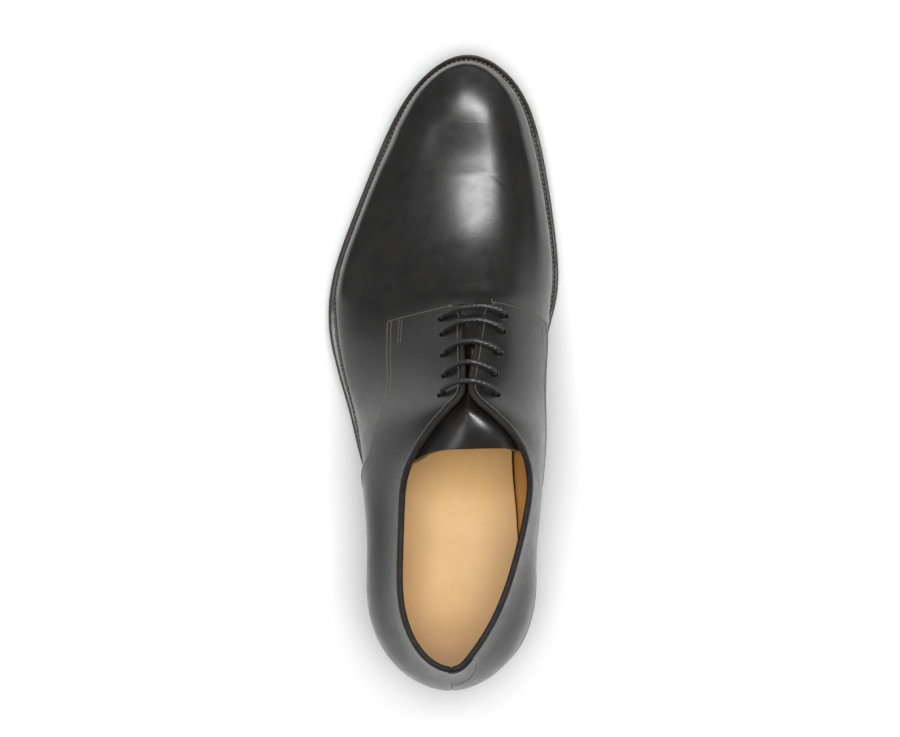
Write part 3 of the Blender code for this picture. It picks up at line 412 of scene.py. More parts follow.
# Stage: the camera stands where the photograph was taken from
CAMERA_PLACE = (0.081, 0.115, 1.400)
CAMERA_TARGET = (0.000, 0.109, 0.040)
CAMERA_LENS = 118
CAMERA_SENSOR = 36
IMAGE_WIDTH = 900
IMAGE_HEIGHT = 737
FLOOR_HALF = 0.6
WORLD_LIGHT = 0.16
EXPOSURE = 0.0
# Each light: where it stands, where it points, its sides, its power, and whether the polish mirrors it
LIGHTS = (
    ("toe soft box", (0.14, 0.60, 1.28), (0.01, 0.17, 0.03), (1.15, 0.46), 30, True),
    ("left panel", (-1.00, -0.15, 1.00), (0.0, 0.0, 0.05), (0.9, 0.30), 3.0, True),
    ("right panel", (1.10, -0.50, 0.60), (0.0, 0.0, 0.05), (0.9, 0.30), 1.0, True),
    ("overhead fill", (0.15, 0.10, 1.90), (0.0, 0.1, 0.0), (1.3, 1.3), 38, False),
)


def spline(knots, values, closed):
    """Smooth curve through values at knots, as a function, with its second derivatives solved for."""
    knots = np.asarray(knots, float)
    values = np.asarray(values, float)
    count = len(knots) - 1
    steps = np.diff(knots)
    slopes = np.diff(values) / steps
    system = np.zeros((count + 1, count + 1))
    right = np.zeros(count + 1)
    for row in range(1, count):
        system[row, row - 1:row + 2] = steps[row - 1], 2 * (steps[row - 1] + steps[row]), steps[row]
        right[row] = 6 * (slopes[row] - slopes[row - 1])
    if closed:
        system[0, 0], system[0, count] = 1, -1
        system[count, 0:2] = 2 * steps[0], steps[0]
        system[count, count - 1:] = steps[-1], 2 * steps[-1]
        right[count] = 6 * (slopes[0] - slopes[-1])
    else:
        system[0, 0] = 1
        system[count, count] = 1
    bend = np.linalg.solve(system, right)

    def curve(place):
        if closed:
            place = knots[0] + (place - knots[0]) % (knots[-1] - knots[0])
        cell = int(np.clip(np.searchsorted(knots, place) - 1, 0, count - 1))
        width = steps[cell]
        ahead = (knots[cell + 1] - place) / width
        behind = (place - knots[cell]) / width
        cubic = (ahead ** 3 - ahead) * bend[cell] + (behind ** 3 - behind) * bend[cell + 1]
        return ahead * values[cell] + behind * values[cell + 1] + cubic * width * width / 6

    return curve


def unit(vector):
    """A direction of length one."""
    return vector / np.linalg.norm(vector)


def column_of(table, columns, name):
    """One column of a table."""
    return [row[columns.index(name)] for row in table]


def underside_height(along):
    """Height of the sole's underside at a place along the shoe, straight between the table's rows."""
    places = np.array(column_of(UNDERSIDE, UNDERSIDE_COLUMNS, "along")) * LENGTH
    heights = (
        np.array(column_of(UNDERSIDE, UNDERSIDE_COLUMNS, "heel")) * HEEL_HEIGHT
        + np.array(column_of(UNDERSIDE, UNDERSIDE_COLUMNS, "spring")) * TOE_SPRING
    )
    return float(np.interp(along, places, heights))


def welt_top(along):
    """Height of the welt's top at a place along the shoe."""
    return underside_height(along) + OUTSOLE_THICK + GAP + WELT_THICK


def foot_height(along):
    """Height of the upper's foot edge at a place along the shoe."""
    return welt_top(along) + GAP


class Last:
    """The section curves as smooth functions of the way round the foot edge."""

    def __init__(self):
        table = {name: column_of(SECTIONS, SECTION_COLUMNS, name) for name in SECTION_COLUMNS}
        across = np.array(table["across"]) * BALL_WIDTH
        along = np.array(table["along"]) * LENGTH
        hops = np.hypot(np.diff(across, append=across[0]), np.diff(along, append=along[0]))
        self.knots = np.concatenate([[0], np.cumsum(hops)])
        self.round = self.knots[-1]
        self.names = table["name"]
        turn = np.radians(table["turn"])
        loops = {
            "across": across, "along": along, "turn_x": np.cos(turn), "turn_y": np.sin(turn),
            "swell": np.array(table["swell"]) * BALL_WIDTH, "ledge": np.array(table["ledge"]) * BALL_WIDTH,
            "swell_at": table["swell_at"], "lean": np.radians(table["lean"]), "low": table["low"],
            "high": table["high"],
        }
        self.loops = {name: spline(self.knots, [*values, values[0]], True) for name, values in loops.items()}
        self.outer_pole = self.names.index("outer toe corner")
        self.inner_pole = self.names.index("inner toe corner")
        order = [*range(self.inner_pole, len(self.names)), *range(self.outer_pole + 1)]
        top_knots = [self.knots[row] - (self.round if row >= self.inner_pole else 0) for row in order]
        tops = {
            "top_across": np.array(table["top_across"]) * BALL_WIDTH,
            "top_along": np.array(table["top_along"]) * LENGTH,
            "rise": np.array(table["rise"]) * INSTEP_RISE,
        }
        self.tops = {name: spline(top_knots, values[order], False) for name, values in tops.items()}

    def station(self, name):
        """Place of a named section round the foot."""
        return self.knots[self.names.index(name)]

    def foot(self, place):
        """The foot edge in plan."""
        return np.array([self.loops["across"](place), self.loops["along"](place)])

    def foot_out(self, place):
        """The way out of the foot edge in plan."""
        ahead = self.foot(place + TURN_STEP) - self.foot(place - TURN_STEP)
        return unit(np.array([-ahead[1], ahead[0]]))

    def sole_edge(self, place, beyond=0.0):
        """Plan of the welt's and outsole's edge, beyond the foot edge by the table's ledge."""
        return self.foot(place) + self.foot_out(place) * (self.loops["ledge"](place) + beyond)

    def top(self, place):
        """Top point of a section: the collar's edge, the instep's ridge, or the pole behind the toe."""
        place = place % self.round
        outer = self.knots[self.outer_pole]
        inner = self.knots[self.inner_pole]
        if outer < place < inner:
            place = outer
        shifted = place - self.round if place >= inner else place
        along = self.loops["along"](place)
        height = foot_height(along) + self.tops["rise"](shifted)
        return np.array([self.tops["top_across"](shifted), self.tops["top_along"](shifted), height])

    def section(self, place):
        """Points of one section from the foot edge to its top, evenly spaced along the curve."""
        foot = self.foot(place)
        ground = foot_height(foot[1])
        top = self.top(place)
        out = unit(np.array([self.loops["turn_x"](place), self.loops["turn_y"](place)]))
        side = np.array([-out[1], out[0]])
        span = top[:2] - foot
        inward = -float(span @ out)
        shift = float(span @ side)
        rise = top[2] - ground
        swell = self.loops["swell"](place)
        waist = ground + rise * self.loops["swell_at"](place)
        low = self.loops["low"](place)
        high = self.loops["high"](place)
        lean = self.loops["lean"](place)
        reach = np.hypot(inward + swell, top[2] - waist)
        foot_curve = ((0, ground), (swell * low, ground + (waist - ground) * low),
                      (swell, waist - (waist - ground) * low), (swell, waist))
        flat = abs(math.cos(lean)) * (inward + swell) + abs(math.sin(lean)) * reach
        high_reach = high * flat
        top_curve = ((swell, waist), (swell, waist + (top[2] - waist) * high),
                     (-inward + math.cos(lean) * high_reach, top[2] - math.sin(lean) * high_reach),
                     (-inward, top[2]))
        share = np.linspace(0, 1, SECTION_SAMPLES)[:, None]
        rest = 1 - share
        weights = np.hstack([rest ** 3, 3 * share * rest ** 2, 3 * share ** 2 * rest, share ** 3])
        flat_points = np.vstack([weights @ np.array(foot_curve), (weights @ np.array(top_curve))[1:]])
        lengths = np.concatenate([[0], np.cumsum(np.hypot(*np.diff(flat_points, axis=0).T))])
        even = np.linspace(0, lengths[-1], CURVE_POINTS)
        stand = np.interp(even, lengths, flat_points[:, 0])
        height = np.interp(even, lengths, flat_points[:, 1])
        plan = foot + stand[:, None] * out + ((height - ground) / rise * shift)[:, None] * side
        return np.column_stack([plan, height]), lengths[-1]


def at_share(values, share):
    """A point at a share of a row of points."""
    grid = np.linspace(0, 1, len(values))
    return np.array([np.interp(share, grid, values[:, axis]) for axis in range(values.shape[1])])


def facing_open(last, place):
    """Distance along the wall from the ridge to the facing's edge, 0 where the section ends at the collar."""
    top = last.top(place)
    low = last.top(last.station("outer throat"))[1]
    high = last.top(last.station("outer facing top"))[1]
    down = np.clip((top[1] - high) / (low - high), 0, 1)
    half = (FACING_GAP_TOP + (FACING_GAP_THROAT - FACING_GAP_TOP) * down ** 2) / 2
    outer = last.station("outer facing top"), last.station("outer facing end")
    inner = last.station("inner facing top"), last.station("inner facing end")
    for full, none in (outer, inner):
        if min(full, none) < place < max(full, none):
            return half * max(0.0, 1 - abs(place - full) / abs(none - full)) ** 0.5
    if outer[0] <= place <= last.station("outer throat") or last.station("inner throat") <= place <= inner[0]:
        return half
    return 0.0


class Skin:
    """The last's surface as a dense table, sampled at any place round the foot and share up the section."""

    def __init__(self):
        self.last = Last()
        self.round = self.last.round
        self.places = np.arange(SKIN_COLUMNS) * self.round / SKIN_COLUMNS
        sections = [self.last.section(place) for place in self.places]
        points = self.eased(np.array([section[0] for section in sections]))
        outer = (self.places < self.last.station("toe tip"))[:, None]
        drawn = smooth_step(1 - abs(points[..., 1] - WAIST_AT) / WAIST_REACH)
        drawn = drawn * smooth_step(points[..., 2] / WAIST_HIGH)
        points[..., 0] += WAIST_DRAWN * drawn * outer
        self.lengths = np.linalg.norm(np.diff(points, axis=1), axis=2).sum(axis=1)
        ahead = np.roll(points, -1, axis=0) - np.roll(points, 1, axis=0)
        normals = np.cross(np.gradient(points, axis=1), ahead)
        sizes = np.linalg.norm(normals, axis=2)
        at_pole = sizes < SAME_POINT ** 2
        normals[at_pole] = (0, 0, 1)
        sizes[at_pole] = 1
        normals = normals / sizes[:, :, None]
        both = np.concatenate([points, normals], axis=2)
        below = 2 * both[:, :1] - both[:, 1:2]
        above = 2 * both[:, -1:] - both[:, -2:-1]
        self.table = np.concatenate([below, both, above], axis=1)
        self.seams = self.last_seams(points)
        opens = np.array([facing_open(self.last, place) for place in self.places])
        self.rims = 1 - opens / self.lengths

    def last_seams(self, points):
        """Share of each section where the quarter's lower edge crosses it, 0 behind the edge's rear end."""
        seams = np.zeros(SKIN_COLUMNS)
        for column, rows in enumerate(points):
            table = OUTER_SEAM if self.places[column] < self.last.station("toe tip") else SEAM
            places = np.array(column_of(table, SEAM_COLUMNS, "along")) * LENGTH
            heights = np.array(column_of(table, SEAM_COLUMNS, "height")) * INSTEP_RISE
            if rows[0, 1] > places[0]:
                curve = spline(places, heights, False)
                above = rows[:, 2] - np.array([curve(min(along, places[-1])) for along in rows[:, 1]])
                crossed = np.flatnonzero((above[:-1] <= 0) & (above[1:] > 0))
                if len(crossed):
                    cell = crossed[0]
                    part = above[cell] / (above[cell] - above[cell + 1])
                    seams[column] = (cell + part) / (CURVE_POINTS - 1)
        return seams

    def eased(self, points):
        """The surface with its turns round the instep drawn out, the collar's edge kept in place."""
        pull = np.zeros((SKIN_COLUMNS, CURVE_POINTS))
        from_rim = 1 - np.linspace(0, 1, CURVE_POINTS)[None, :]
        for name, fade in EASED_AT:
            near = smooth_step(1 - abs(self.places - self.last.station(name)) / EASE_REACH)[:, None]
            pull = np.maximum(pull, near * smooth_step(from_rim / fade + SAME_POINT / fade))
        for _ in range(EASE_ROUNDS):
            beside = (np.roll(points, EASE_STEP, axis=0) + np.roll(points, -EASE_STEP, axis=0)) / 2
            points = points + (beside - points) * (pull / 2)[:, :, None]
        toe = smooth_step(1 - abs(self.places - self.last.station("toe tip")) / TOE_EASE_REACH)[:, None]
        inner_rows = slice(TOE_EASE_STEP, CURVE_POINTS - TOE_EASE_STEP)
        pull = toe * smooth_step((1 - from_rim) / TOE_EASE_HOLD) * smooth_step(from_rim / TOE_EASE_HOLD)
        for _ in range(TOE_EASE_ROUNDS):
            beside = (points[:, 2 * TOE_EASE_STEP:] + points[:, :-2 * TOE_EASE_STEP]) / 2
            change = (beside - points[:, inner_rows]) * (pull[:, inner_rows] / 2)[:, :, None]
            points[:, inner_rows] += change
        tip = smooth_step(1 - abs(self.places - self.last.station("toe tip")) / TOE_TIP_REACH)[:, None, None]
        for _ in range(TOE_TIP_ROUNDS):
            beside = (np.roll(points, TOE_TIP_STEP, axis=0) + np.roll(points, -TOE_TIP_STEP, axis=0)) / 2
            points = points + (beside - points) * tip / 2
        return points

    def along(self, values, place):
        """A value kept for each column, read at places between the columns."""
        ends = np.append(self.places, self.round)
        return np.interp(np.mod(place, self.round), ends, np.append(values, values[0]))

    def at(self, place, share):
        """Points and outward directions at places and shares given as arrays of one shape."""
        place, share = np.broadcast_arrays(np.asarray(place, float), np.asarray(share, float))
        column = place / self.round * SKIN_COLUMNS
        row = np.clip(share, 0, 1) * (CURVE_POINTS - 1)
        near_column = np.floor(column).astype(int)
        near_row = np.clip(np.floor(row).astype(int), 0, CURVE_POINTS - 2)
        found = 0
        for step, weight in enumerate(cubic_weights(column - near_column)):
            columns = (near_column + step - 1) % SKIN_COLUMNS
            for rise, share_weight in enumerate(cubic_weights(row - near_row)):
                found = found + self.table[columns, near_row + rise] * (weight * share_weight)[..., None]
        return found[..., :3], unit_rows(found[..., 3:])

    def wall(self, place):
        """One whole section with its outward directions and its length."""
        points, normals = self.at(np.full(CURVE_POINTS, place), np.linspace(0, 1, CURVE_POINTS))
        return points, normals, float(self.along(self.lengths, place))


def cubic_weights(part):
    """Weights of four neighbours for a smooth curve through the middle two."""
    square = part * part
    cube = square * part
    return (
        (2 * square - cube - part) / 2, (3 * cube - 5 * square + 2) / 2,
        (4 * square - 3 * cube + part) / 2, (cube - square) / 2,
    )


def unit_rows(vectors):
    """Directions of length one along the last axis."""
    return vectors / np.maximum(np.linalg.norm(vectors, axis=-1, keepdims=True), SAME_POINT)


def smooth_step(value):
    """A soft step from 0 to 1."""
    value = np.clip(value, 0, 1)
    return value * value * (3 - 2 * value)


@functools.lru_cache
def skin():
    """The shoe's surface, made once."""
    return Skin()


def grid_directions(grid, up):
    """Unit directions across a grid of points, turned to the given direction's side in its middle."""
    directions = unit_rows(np.cross(np.gradient(grid, axis=0), np.gradient(grid, axis=1)))
    middle = directions[grid.shape[0] // 2, grid.shape[1] // 2]
    return -directions if middle @ np.asarray(up) < 0 else directions


def grid_faces(rows, columns, start=0):
    """Faces of a grid whose points are numbered row by row."""
    faces = []
    for row in range(rows - 1):
        for column in range(columns - 1):
            near = start + row * columns + column
            far = near + columns
            faces.append((near, near + 1, far + 1, far))
    return faces


def piece_mesh(name, grids, outward, materials, values=()):
    """An object of one or more grids of points, with shared points merged and faces turned outward.

    A closed shape turns its own faces outward, and a sheet is turned by the direction that is given.
    """
    points = np.concatenate([grid.reshape(-1, 3) for grid in grids])
    faces = []
    start = 0
    for grid in grids:
        faces += grid_faces(grid.shape[0], grid.shape[1], start)
        start += grid.shape[0] * grid.shape[1]
    mesh = bpy.data.meshes.new(name)
    mesh.from_pydata(points.tolist(), [], faces)
    for attribute, numbers in dict(values).items():
        layer = mesh.attributes.new(attribute, "FLOAT", "POINT")
        layer.data.foreach_set("value", np.asarray(numbers, np.float32))
    work = bmesh.new()
    work.from_mesh(mesh)
    bmesh.ops.remove_doubles(work, verts=work.verts[:], dist=MERGE_DISTANCE)
    bmesh.ops.recalc_face_normals(work, faces=work.faces[:])
    probe = max(work.faces, key=lambda face: abs(face.normal.dot(Vector(outward))))
    sheet = any(edge.is_boundary for edge in work.edges)
    if sheet and probe.normal.dot(Vector(outward)) < 0:
        bmesh.ops.reverse_faces(work, faces=work.faces[:])
    work.to_mesh(mesh)
    work.free()
    mesh.shade_smooth()
    for material in materials:
        mesh.materials.append(material)
    piece = bpy.data.objects.new(name, mesh)
    bpy.context.scene.collection.objects.link(piece)
    return piece


def settle(piece, slot, *nodes):
    """Turn a piece's modifiers into its own mesh, tie it to the shoe and hide the solids it stands for."""
    bpy.context.view_layer.update()
    mesh = bpy.data.meshes.new_from_object(piece.evaluated_get(bpy.context.evaluated_depsgraph_get()))
    piece.modifiers.clear()
    if piece.type == "MESH":
        piece.data = mesh
    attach(piece, "root")
    if nodes:
        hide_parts(*nodes)
    return piece


def thicken(piece, thickness, edge=0.0):
    """Give a surface its thickness to the inside, with rounded edges if wanted."""
    solid = piece.modifiers.new("thickness", "SOLIDIFY")
    solid.thickness = thickness
    solid.offset = -1
    if edge:
        bevel = piece.modifiers.new("edges", "BEVEL")
        bevel.width = edge
        bevel.segments = 3
        bevel.limit_method = "ANGLE"
        bevel.angle_limit = math.radians(55)


def distance_to(points, line):
    """Distance of each point from a line given by close points."""
    tree = KDTree(len(line))
    for index, spot in enumerate(line):
        tree.insert(spot, index)
    tree.balance()
    return np.array([tree.find(point)[2] for point in points.reshape(-1, 3)])


def even_line(line, step):
    """The same line with points a step apart."""
    walked = np.concatenate([[0], np.cumsum(np.linalg.norm(np.diff(line, axis=0), axis=1))])
    even = np.linspace(0, walked[-1], max(2, int(walked[-1] / step)))
    return np.column_stack([np.interp(even, walked, line[:, axis]) for axis in range(line.shape[1])])


def fold_height(points):
    """Height of the soft creases at points of the vamp."""
    total = np.zeros(points.shape[:-1])
    for across, along, turn, reach, width, bow, rise in FOLDS:
        side = points[..., 0] - across * BALL_WIDTH
        ahead = points[..., 1] - along * LENGTH
        angle = math.radians(turn)
        run = side * math.cos(angle) + ahead * math.sin(angle)
        off = ahead * math.cos(angle) - side * math.sin(angle) - bow * run * run / (reach * BALL_WIDTH)
        fade = (run / (reach * BALL_WIDTH)) ** 2 + (off / (width * BALL_WIDTH)) ** 2
        total += rise * CREASE * np.exp(-fade)
    return total * shoe_sizes().crease_depth


def matched_places(rear):
    """Places of the outer and inner side that share a ridge point, from the facings to the toe's tip."""
    last = skin().last
    outer = np.linspace(last.station("outer throat") - rear, last.station("outer toe corner"), VAMP_STATIONS)
    dense = np.linspace(last.station("inner toe corner"), last.station("inner facing"), DENSE)
    along = np.array([last.top(place)[1] for place in dense])
    inner = np.array([np.interp(-last.top(place)[1], -along, dense) for place in outer])
    tip = last.station("toe tip")
    outer_toe = np.linspace(outer[-1], tip, TOE_STATIONS)[1:]
    inner_toe = np.linspace(inner[-1], tip, TOE_STATIONS)[1:]
    return np.concatenate([outer, outer_toe]), np.concatenate([inner, inner_toe])


def girth_grid(rear, rows, depth):
    """The forepart's surface with its top softened."""
    return softened(girth_points(rear, rows, depth))


def girth_points(rear, rows, depth):
    """Points over the foot from the outer to the inner foot edge, from under the facings to the toe's tip."""
    outer, inner = matched_places(rear)
    shares = np.linspace(0, 1, rows)
    sides = []
    for places in (outer, inner):
        points, outward = skin().at(places[:, None], shares[None, :])
        sides.append(points - outward * depth)
    ridge = (sides[0][:, -1:] + sides[1][:, -1:]) / 2
    grid = np.concatenate([sides[0][:, :-1], ridge, sides[1][:, -2::-1]], axis=1)
    middle = rows - 1
    for _ in range(RIDGE_SMOOTHING):
        near = slice(middle - RIDGE_REACH, middle + RIDGE_REACH + 1)
        before = slice(near.start - 1, near.stop - 1)
        after = slice(near.start + 1, near.stop + 1)
        grid[:, near] = (grid[:, before] + 2 * grid[:, near] + grid[:, after]) / 4
        grid[VAMP_STATIONS - 1:, middle] = grid[VAMP_STATIONS - 1:, middle].mean(axis=0)
    return grid


@functools.lru_cache
def soft_heights():
    """How far the top of the forepart rises or falls when its heights are softened, on an even grid."""
    grid = girth_points(0.0, SIDE_ROWS, 0.0)
    rows, columns = grid.shape[:2]
    tree = BVHTree.FromPolygons(grid.reshape(-1, 3).tolist(), grid_faces(rows, columns))
    across = np.arange(-SOFT_HALF, SOFT_HALF, SOFT_CELL)
    along = np.arange(grid[..., 1].min(), grid[..., 1].max(), SOFT_CELL)
    heights = np.zeros((len(along), len(across)))
    for row, y in enumerate(along):
        for column, x in enumerate(across):
            for shift in SOFT_SHIFTS:
                hit, normal, _, _ = tree.ray_cast(Vector((x + shift, y + shift, 1.0)), Vector((0, 0, -1)))
                if hit and abs(normal.z) > SOFT_STEEP / 2:
                    heights[row, column] = hit.z
                    break
    known = (heights > 0).astype(float)
    once = blurred(heights, known)
    twice = blurred(once * known, known)
    return across, along, (2 * once - twice - heights) * known


def blurred(heights, known):
    """Heights blurred by SOFT_REACH from the known places only."""
    steps = np.arange(-3 * SOFT_REACH, 3 * SOFT_REACH + SOFT_CELL / 2, SOFT_CELL)
    bell = np.exp(-(steps / SOFT_REACH) ** 2 / 2)

    def spread_out(table):
        for axis in (0, 1):
            table = np.apply_along_axis(lambda line: np.convolve(line, bell, "same"), axis, table)
        return table

    return spread_out(heights * known) / np.maximum(spread_out(known), SAME_POINT)


def softened(grid):
    """The forepart with the heights of its top softened, its sides and its rear kept in place."""
    across, along, change = soft_heights()
    column = np.clip((grid[..., 0] - across[0]) / SOFT_CELL, 0, len(across) - SOFT_LAST)
    row = np.clip((grid[..., 1] - along[0]) / SOFT_CELL, 0, len(along) - SOFT_LAST)
    left, low = column.astype(int), row.astype(int)
    right, high = column - left, row - low
    found = (change[low, left] * (1 - right) + change[low, left + 1] * right) * (1 - high)
    found += (change[low + 1, left] * (1 - right) + change[low + 1, left + 1] * right) * high
    level = abs(grid_directions(grid, (0, 0, 1))[..., 2])
    middle = grid.shape[1] // 2
    level[:, middle - SOFT_LEVEL:middle + SOFT_LEVEL + 1] = 1
    keep = smooth_step((level - SOFT_STEEP) / SOFT_BLEND)
    keep = keep * smooth_step((grid[..., 1] - along[0]) / SOFT_FRONT - SOFT_REAR)
    grid[..., 2] += found * keep
    return grid


def vamp_wing(side, joint):
    """The part of the vamp that is tucked under a quarter, behind the throat."""
    base = skin()
    front = base.last.station(side + " throat")
    toward = 1 if side == "outer" else -1
    front = front - toward * VAMP_REAR if side == "outer" else matched_places(VAMP_REAR)[1][0]
    covered = base.places[base.seams > 0]
    middle = base.last.station("toe tip")
    own = covered[covered < middle] if side == "outer" else covered[covered > middle]
    back = (own.min() if side == "outer" else own.max()) - toward * VAMP_TUCK
    places = np.linspace(back, front, WING_COLUMNS)
    tuck = base.along(base.seams, places) + VAMP_TUCK / base.along(base.lengths, places)
    blend = np.clip(1 - abs(front - places) / VAMP_TUCK, 0, 1) ** 2
    tops = np.minimum(tuck + (1 - tuck) * blend, 1)
    shares = tops[:, None] * np.linspace(0, 1, len(joint))[None, :]
    grid = base.at(places[:, None], shares)[0]
    grid[-1] = joint
    return grid


def build_vamp():
    """The vamp: the forepart with its creases, and the wings tucked under the quarters."""
    grid = girth_grid(VAMP_REAR, SIDE_ROWS, 0.0)
    outward = grid_directions(grid, (0, 0, 1))
    height = fold_height(grid)
    height[VAMP_STATIONS - 1:, SIDE_ROWS - 1] = height[VAMP_STATIONS - 1, SIDE_ROWS - 1]
    outward[VAMP_STATIONS - 1:, SIDE_ROWS - 1] = (0, 0, 1)
    grid = grid + outward * height[..., None]
    wings = [vamp_wing("outer", grid[0, :SIDE_ROWS]), vamp_wing("inner", grid[0, SIDE_ROWS - 1:][::-1])]
    for part in (grid, *wings):
        part[..., 2] -= np.where(part[..., 2] < foot_heights(part[..., 1]) + GAP, GAP, 0)
    vamp = piece_mesh("vamp", [grid, *wings], (0, 0, 1), [calf_material()])
    thicken(vamp, VAMP_THICK)
    return settle(vamp, "calf", "upper")


def foot_heights(along):
    """Heights of the upper's foot edge at places along the shoe."""
    return np.vectorize(foot_height)(along)


def rounded_cut(distance, radius):
    """How far a rounded corner stands back from its square corner, at a distance along the edge."""
    inside = np.clip(radius - distance, 0, radius)
    return radius - np.sqrt(radius ** 2 - inside ** 2)


@functools.lru_cache
def quarter_grid(side):
    """Outer surface of one quarter: a row for each place from the heel's back to the throat, seam to rim."""
    base = skin()
    start = 0.0 if side == "outer" else base.round
    end = base.last.station(side + " throat")
    toward = 1 if side == "outer" else -1
    dense = np.linspace(start, end, DENSE * 4)
    seam_line = base.at(dense, base.along(base.seams, dense))[0]
    walked = np.concatenate([[0], np.cumsum(np.linalg.norm(np.diff(seam_line, axis=0), axis=1))])
    columns = np.interp(np.linspace(0, walked[-1], QUARTER_COLUMNS), walked, dense)
    rise = np.linspace(0, 1, QUARTER_ROWS)
    front_height = base.along(base.lengths, end) * (base.along(base.rims, end) - base.along(base.seams, end))
    cut = rounded_cut((1 - rise) * front_height, FACING_ROUND) * FACING_SQUEEZE
    cut += rounded_cut(rise * front_height, CORNER_ROUND)
    fade = np.clip(1 - abs(end - columns) / (2 * FACING_ROUND), 0, 1)
    places = columns[:, None] - toward * cut[None, :] * fade[:, None]
    seams = base.along(base.seams, places)
    rims = base.along(base.rims, places)
    points, outward = base.at(places, seams + (rims - seams) * rise[None, :])
    points[..., 2] -= np.where(points[..., 2] < foot_heights(points[..., 1]) + GAP, GAP, 0)
    points[0] -= outward[0] * BACK_SEAM_DEEP
    return points + outward * QUARTER_STEP


def quarter_edges(side):
    """The lower edge, the front edge and the rim of a quarter, each with the direction into the leather."""
    grid = quarter_grid(side)
    outward = grid_directions(grid, (-1 if side == "outer" else 1, 0, 0))
    lower = grid[:, 0], outward[:, 0], grid[:, EDGE_REACH]
    front = grid[-1], outward[-1], grid[-1 - EDGE_REACH]
    rim = grid[:, -1], outward[:, -1], grid[:, -1 - EDGE_REACH]
    edges = []
    for line, out, beside in (lower, front, rim):
        into = unit_rows(np.cross(out, np.gradient(line, axis=0)))
        edges.append((line, into * np.sign(((beside - line) * into).sum())))
    return edges


def build_quarters():
    """Both quarters as one wall, with the eyelets cut through it."""
    grids = [quarter_grid(side) for side in SIDES]
    values = {"edge_distance": [], "curve_distance": [], "back_distance": []}
    for side, grid in zip(SIDES, grids):
        lower, front, rim = [edge[0] for edge in quarter_edges(side)]
        values["edge_distance"].append(distance_to(grid, np.concatenate([lower, front, rim])))
        values["curve_distance"].append(distance_to(grid, lower))
        values["back_distance"].append(distance_to(grid, grid[0]))
    values = {name: np.concatenate(numbers) for name, numbers in values.items()}
    quarters = piece_mesh("quarters", grids, (0, -1, 0), [quarter_material()], values)
    thicken(quarters, QUARTER_STEP - GAP / 4, EDGE_ROUND)
    cut_eyelets(quarters)
    return settle(quarters, "calf")


def cut_eyelets(quarters):
    """Blind eyelets: round holes through the facings with no metal."""
    grids = []
    around = np.linspace(0, 2 * math.pi, EYELET_SIDES + 1)
    for eyelet in [*eyelets()[0], *eyelets()[1]]:
        beside = np.cross(eyelet.out, eyelet.to_gap)
        ring = np.cos(around)[:, None] * eyelet.to_gap + np.sin(around)[:, None] * beside
        rows = []
        for height, radius in ((-WALL, 0), (-WALL, 1), (EYELET_CUT_OVER, 1), (EYELET_CUT_OVER, 0)):
            rows.append(eyelet.centre + eyelet.out * height + ring * EYELET_RADIUS * radius)
        grids.append(np.array(rows))
    cutter = piece_mesh("eyelet_cutter", grids, (0, 0, 1), [])
    cutter.hide_render = True
    cutter.hide_viewport = False
    cut = quarters.modifiers.new("eyelets", "BOOLEAN")
    cut.solver = "EXACT"
    cut.object = cutter
    bpy.context.view_layer.update()
    mesh = bpy.data.meshes.new_from_object(quarters.evaluated_get(bpy.context.evaluated_depsgraph_get()))
    quarters.modifiers.clear()
    quarters.data = mesh
    bpy.data.objects.remove(cutter)


def build_lining():
    """Tan lining inside the vamp and the quarters."""
    base = skin()
    grids = [girth_grid(0.0, LINING_ROWS, WALL)]
    for side in SIDES:
        start = 0.0 if side == "outer" else base.round
        places = np.linspace(start, base.last.station(side + " throat"), LINING_COLUMNS)[:, None]
        seams = base.along(base.seams, places)
        rims = base.along(base.rims, places)
        rise = np.linspace(0, 1, LINING_ROWS)[None, :]
        facing_top = abs(base.last.station(side + " facing top") - start)
        facing = smooth_step((abs(places - start) - facing_top) / LINING_FACING + 1)
        short = LINING_SHORT + (BACKING_WIDE - 2 * LINING_SHORT) * facing
        shares = (rims - short / base.along(base.lengths, places)) * rise
        points, outward = base.at(places, shares)
        thin = np.clip((shares - seams) / (rims - seams), 0, 1) * QUARTER_STEP
        grids.append(points - outward * (WALL - thin)[..., None])
    lining = piece_mesh("lining", grids, (0, 0, -1), [lining_material()])
    thicken(lining, LINING_THICK)
    return settle(lining, "insole_leather")


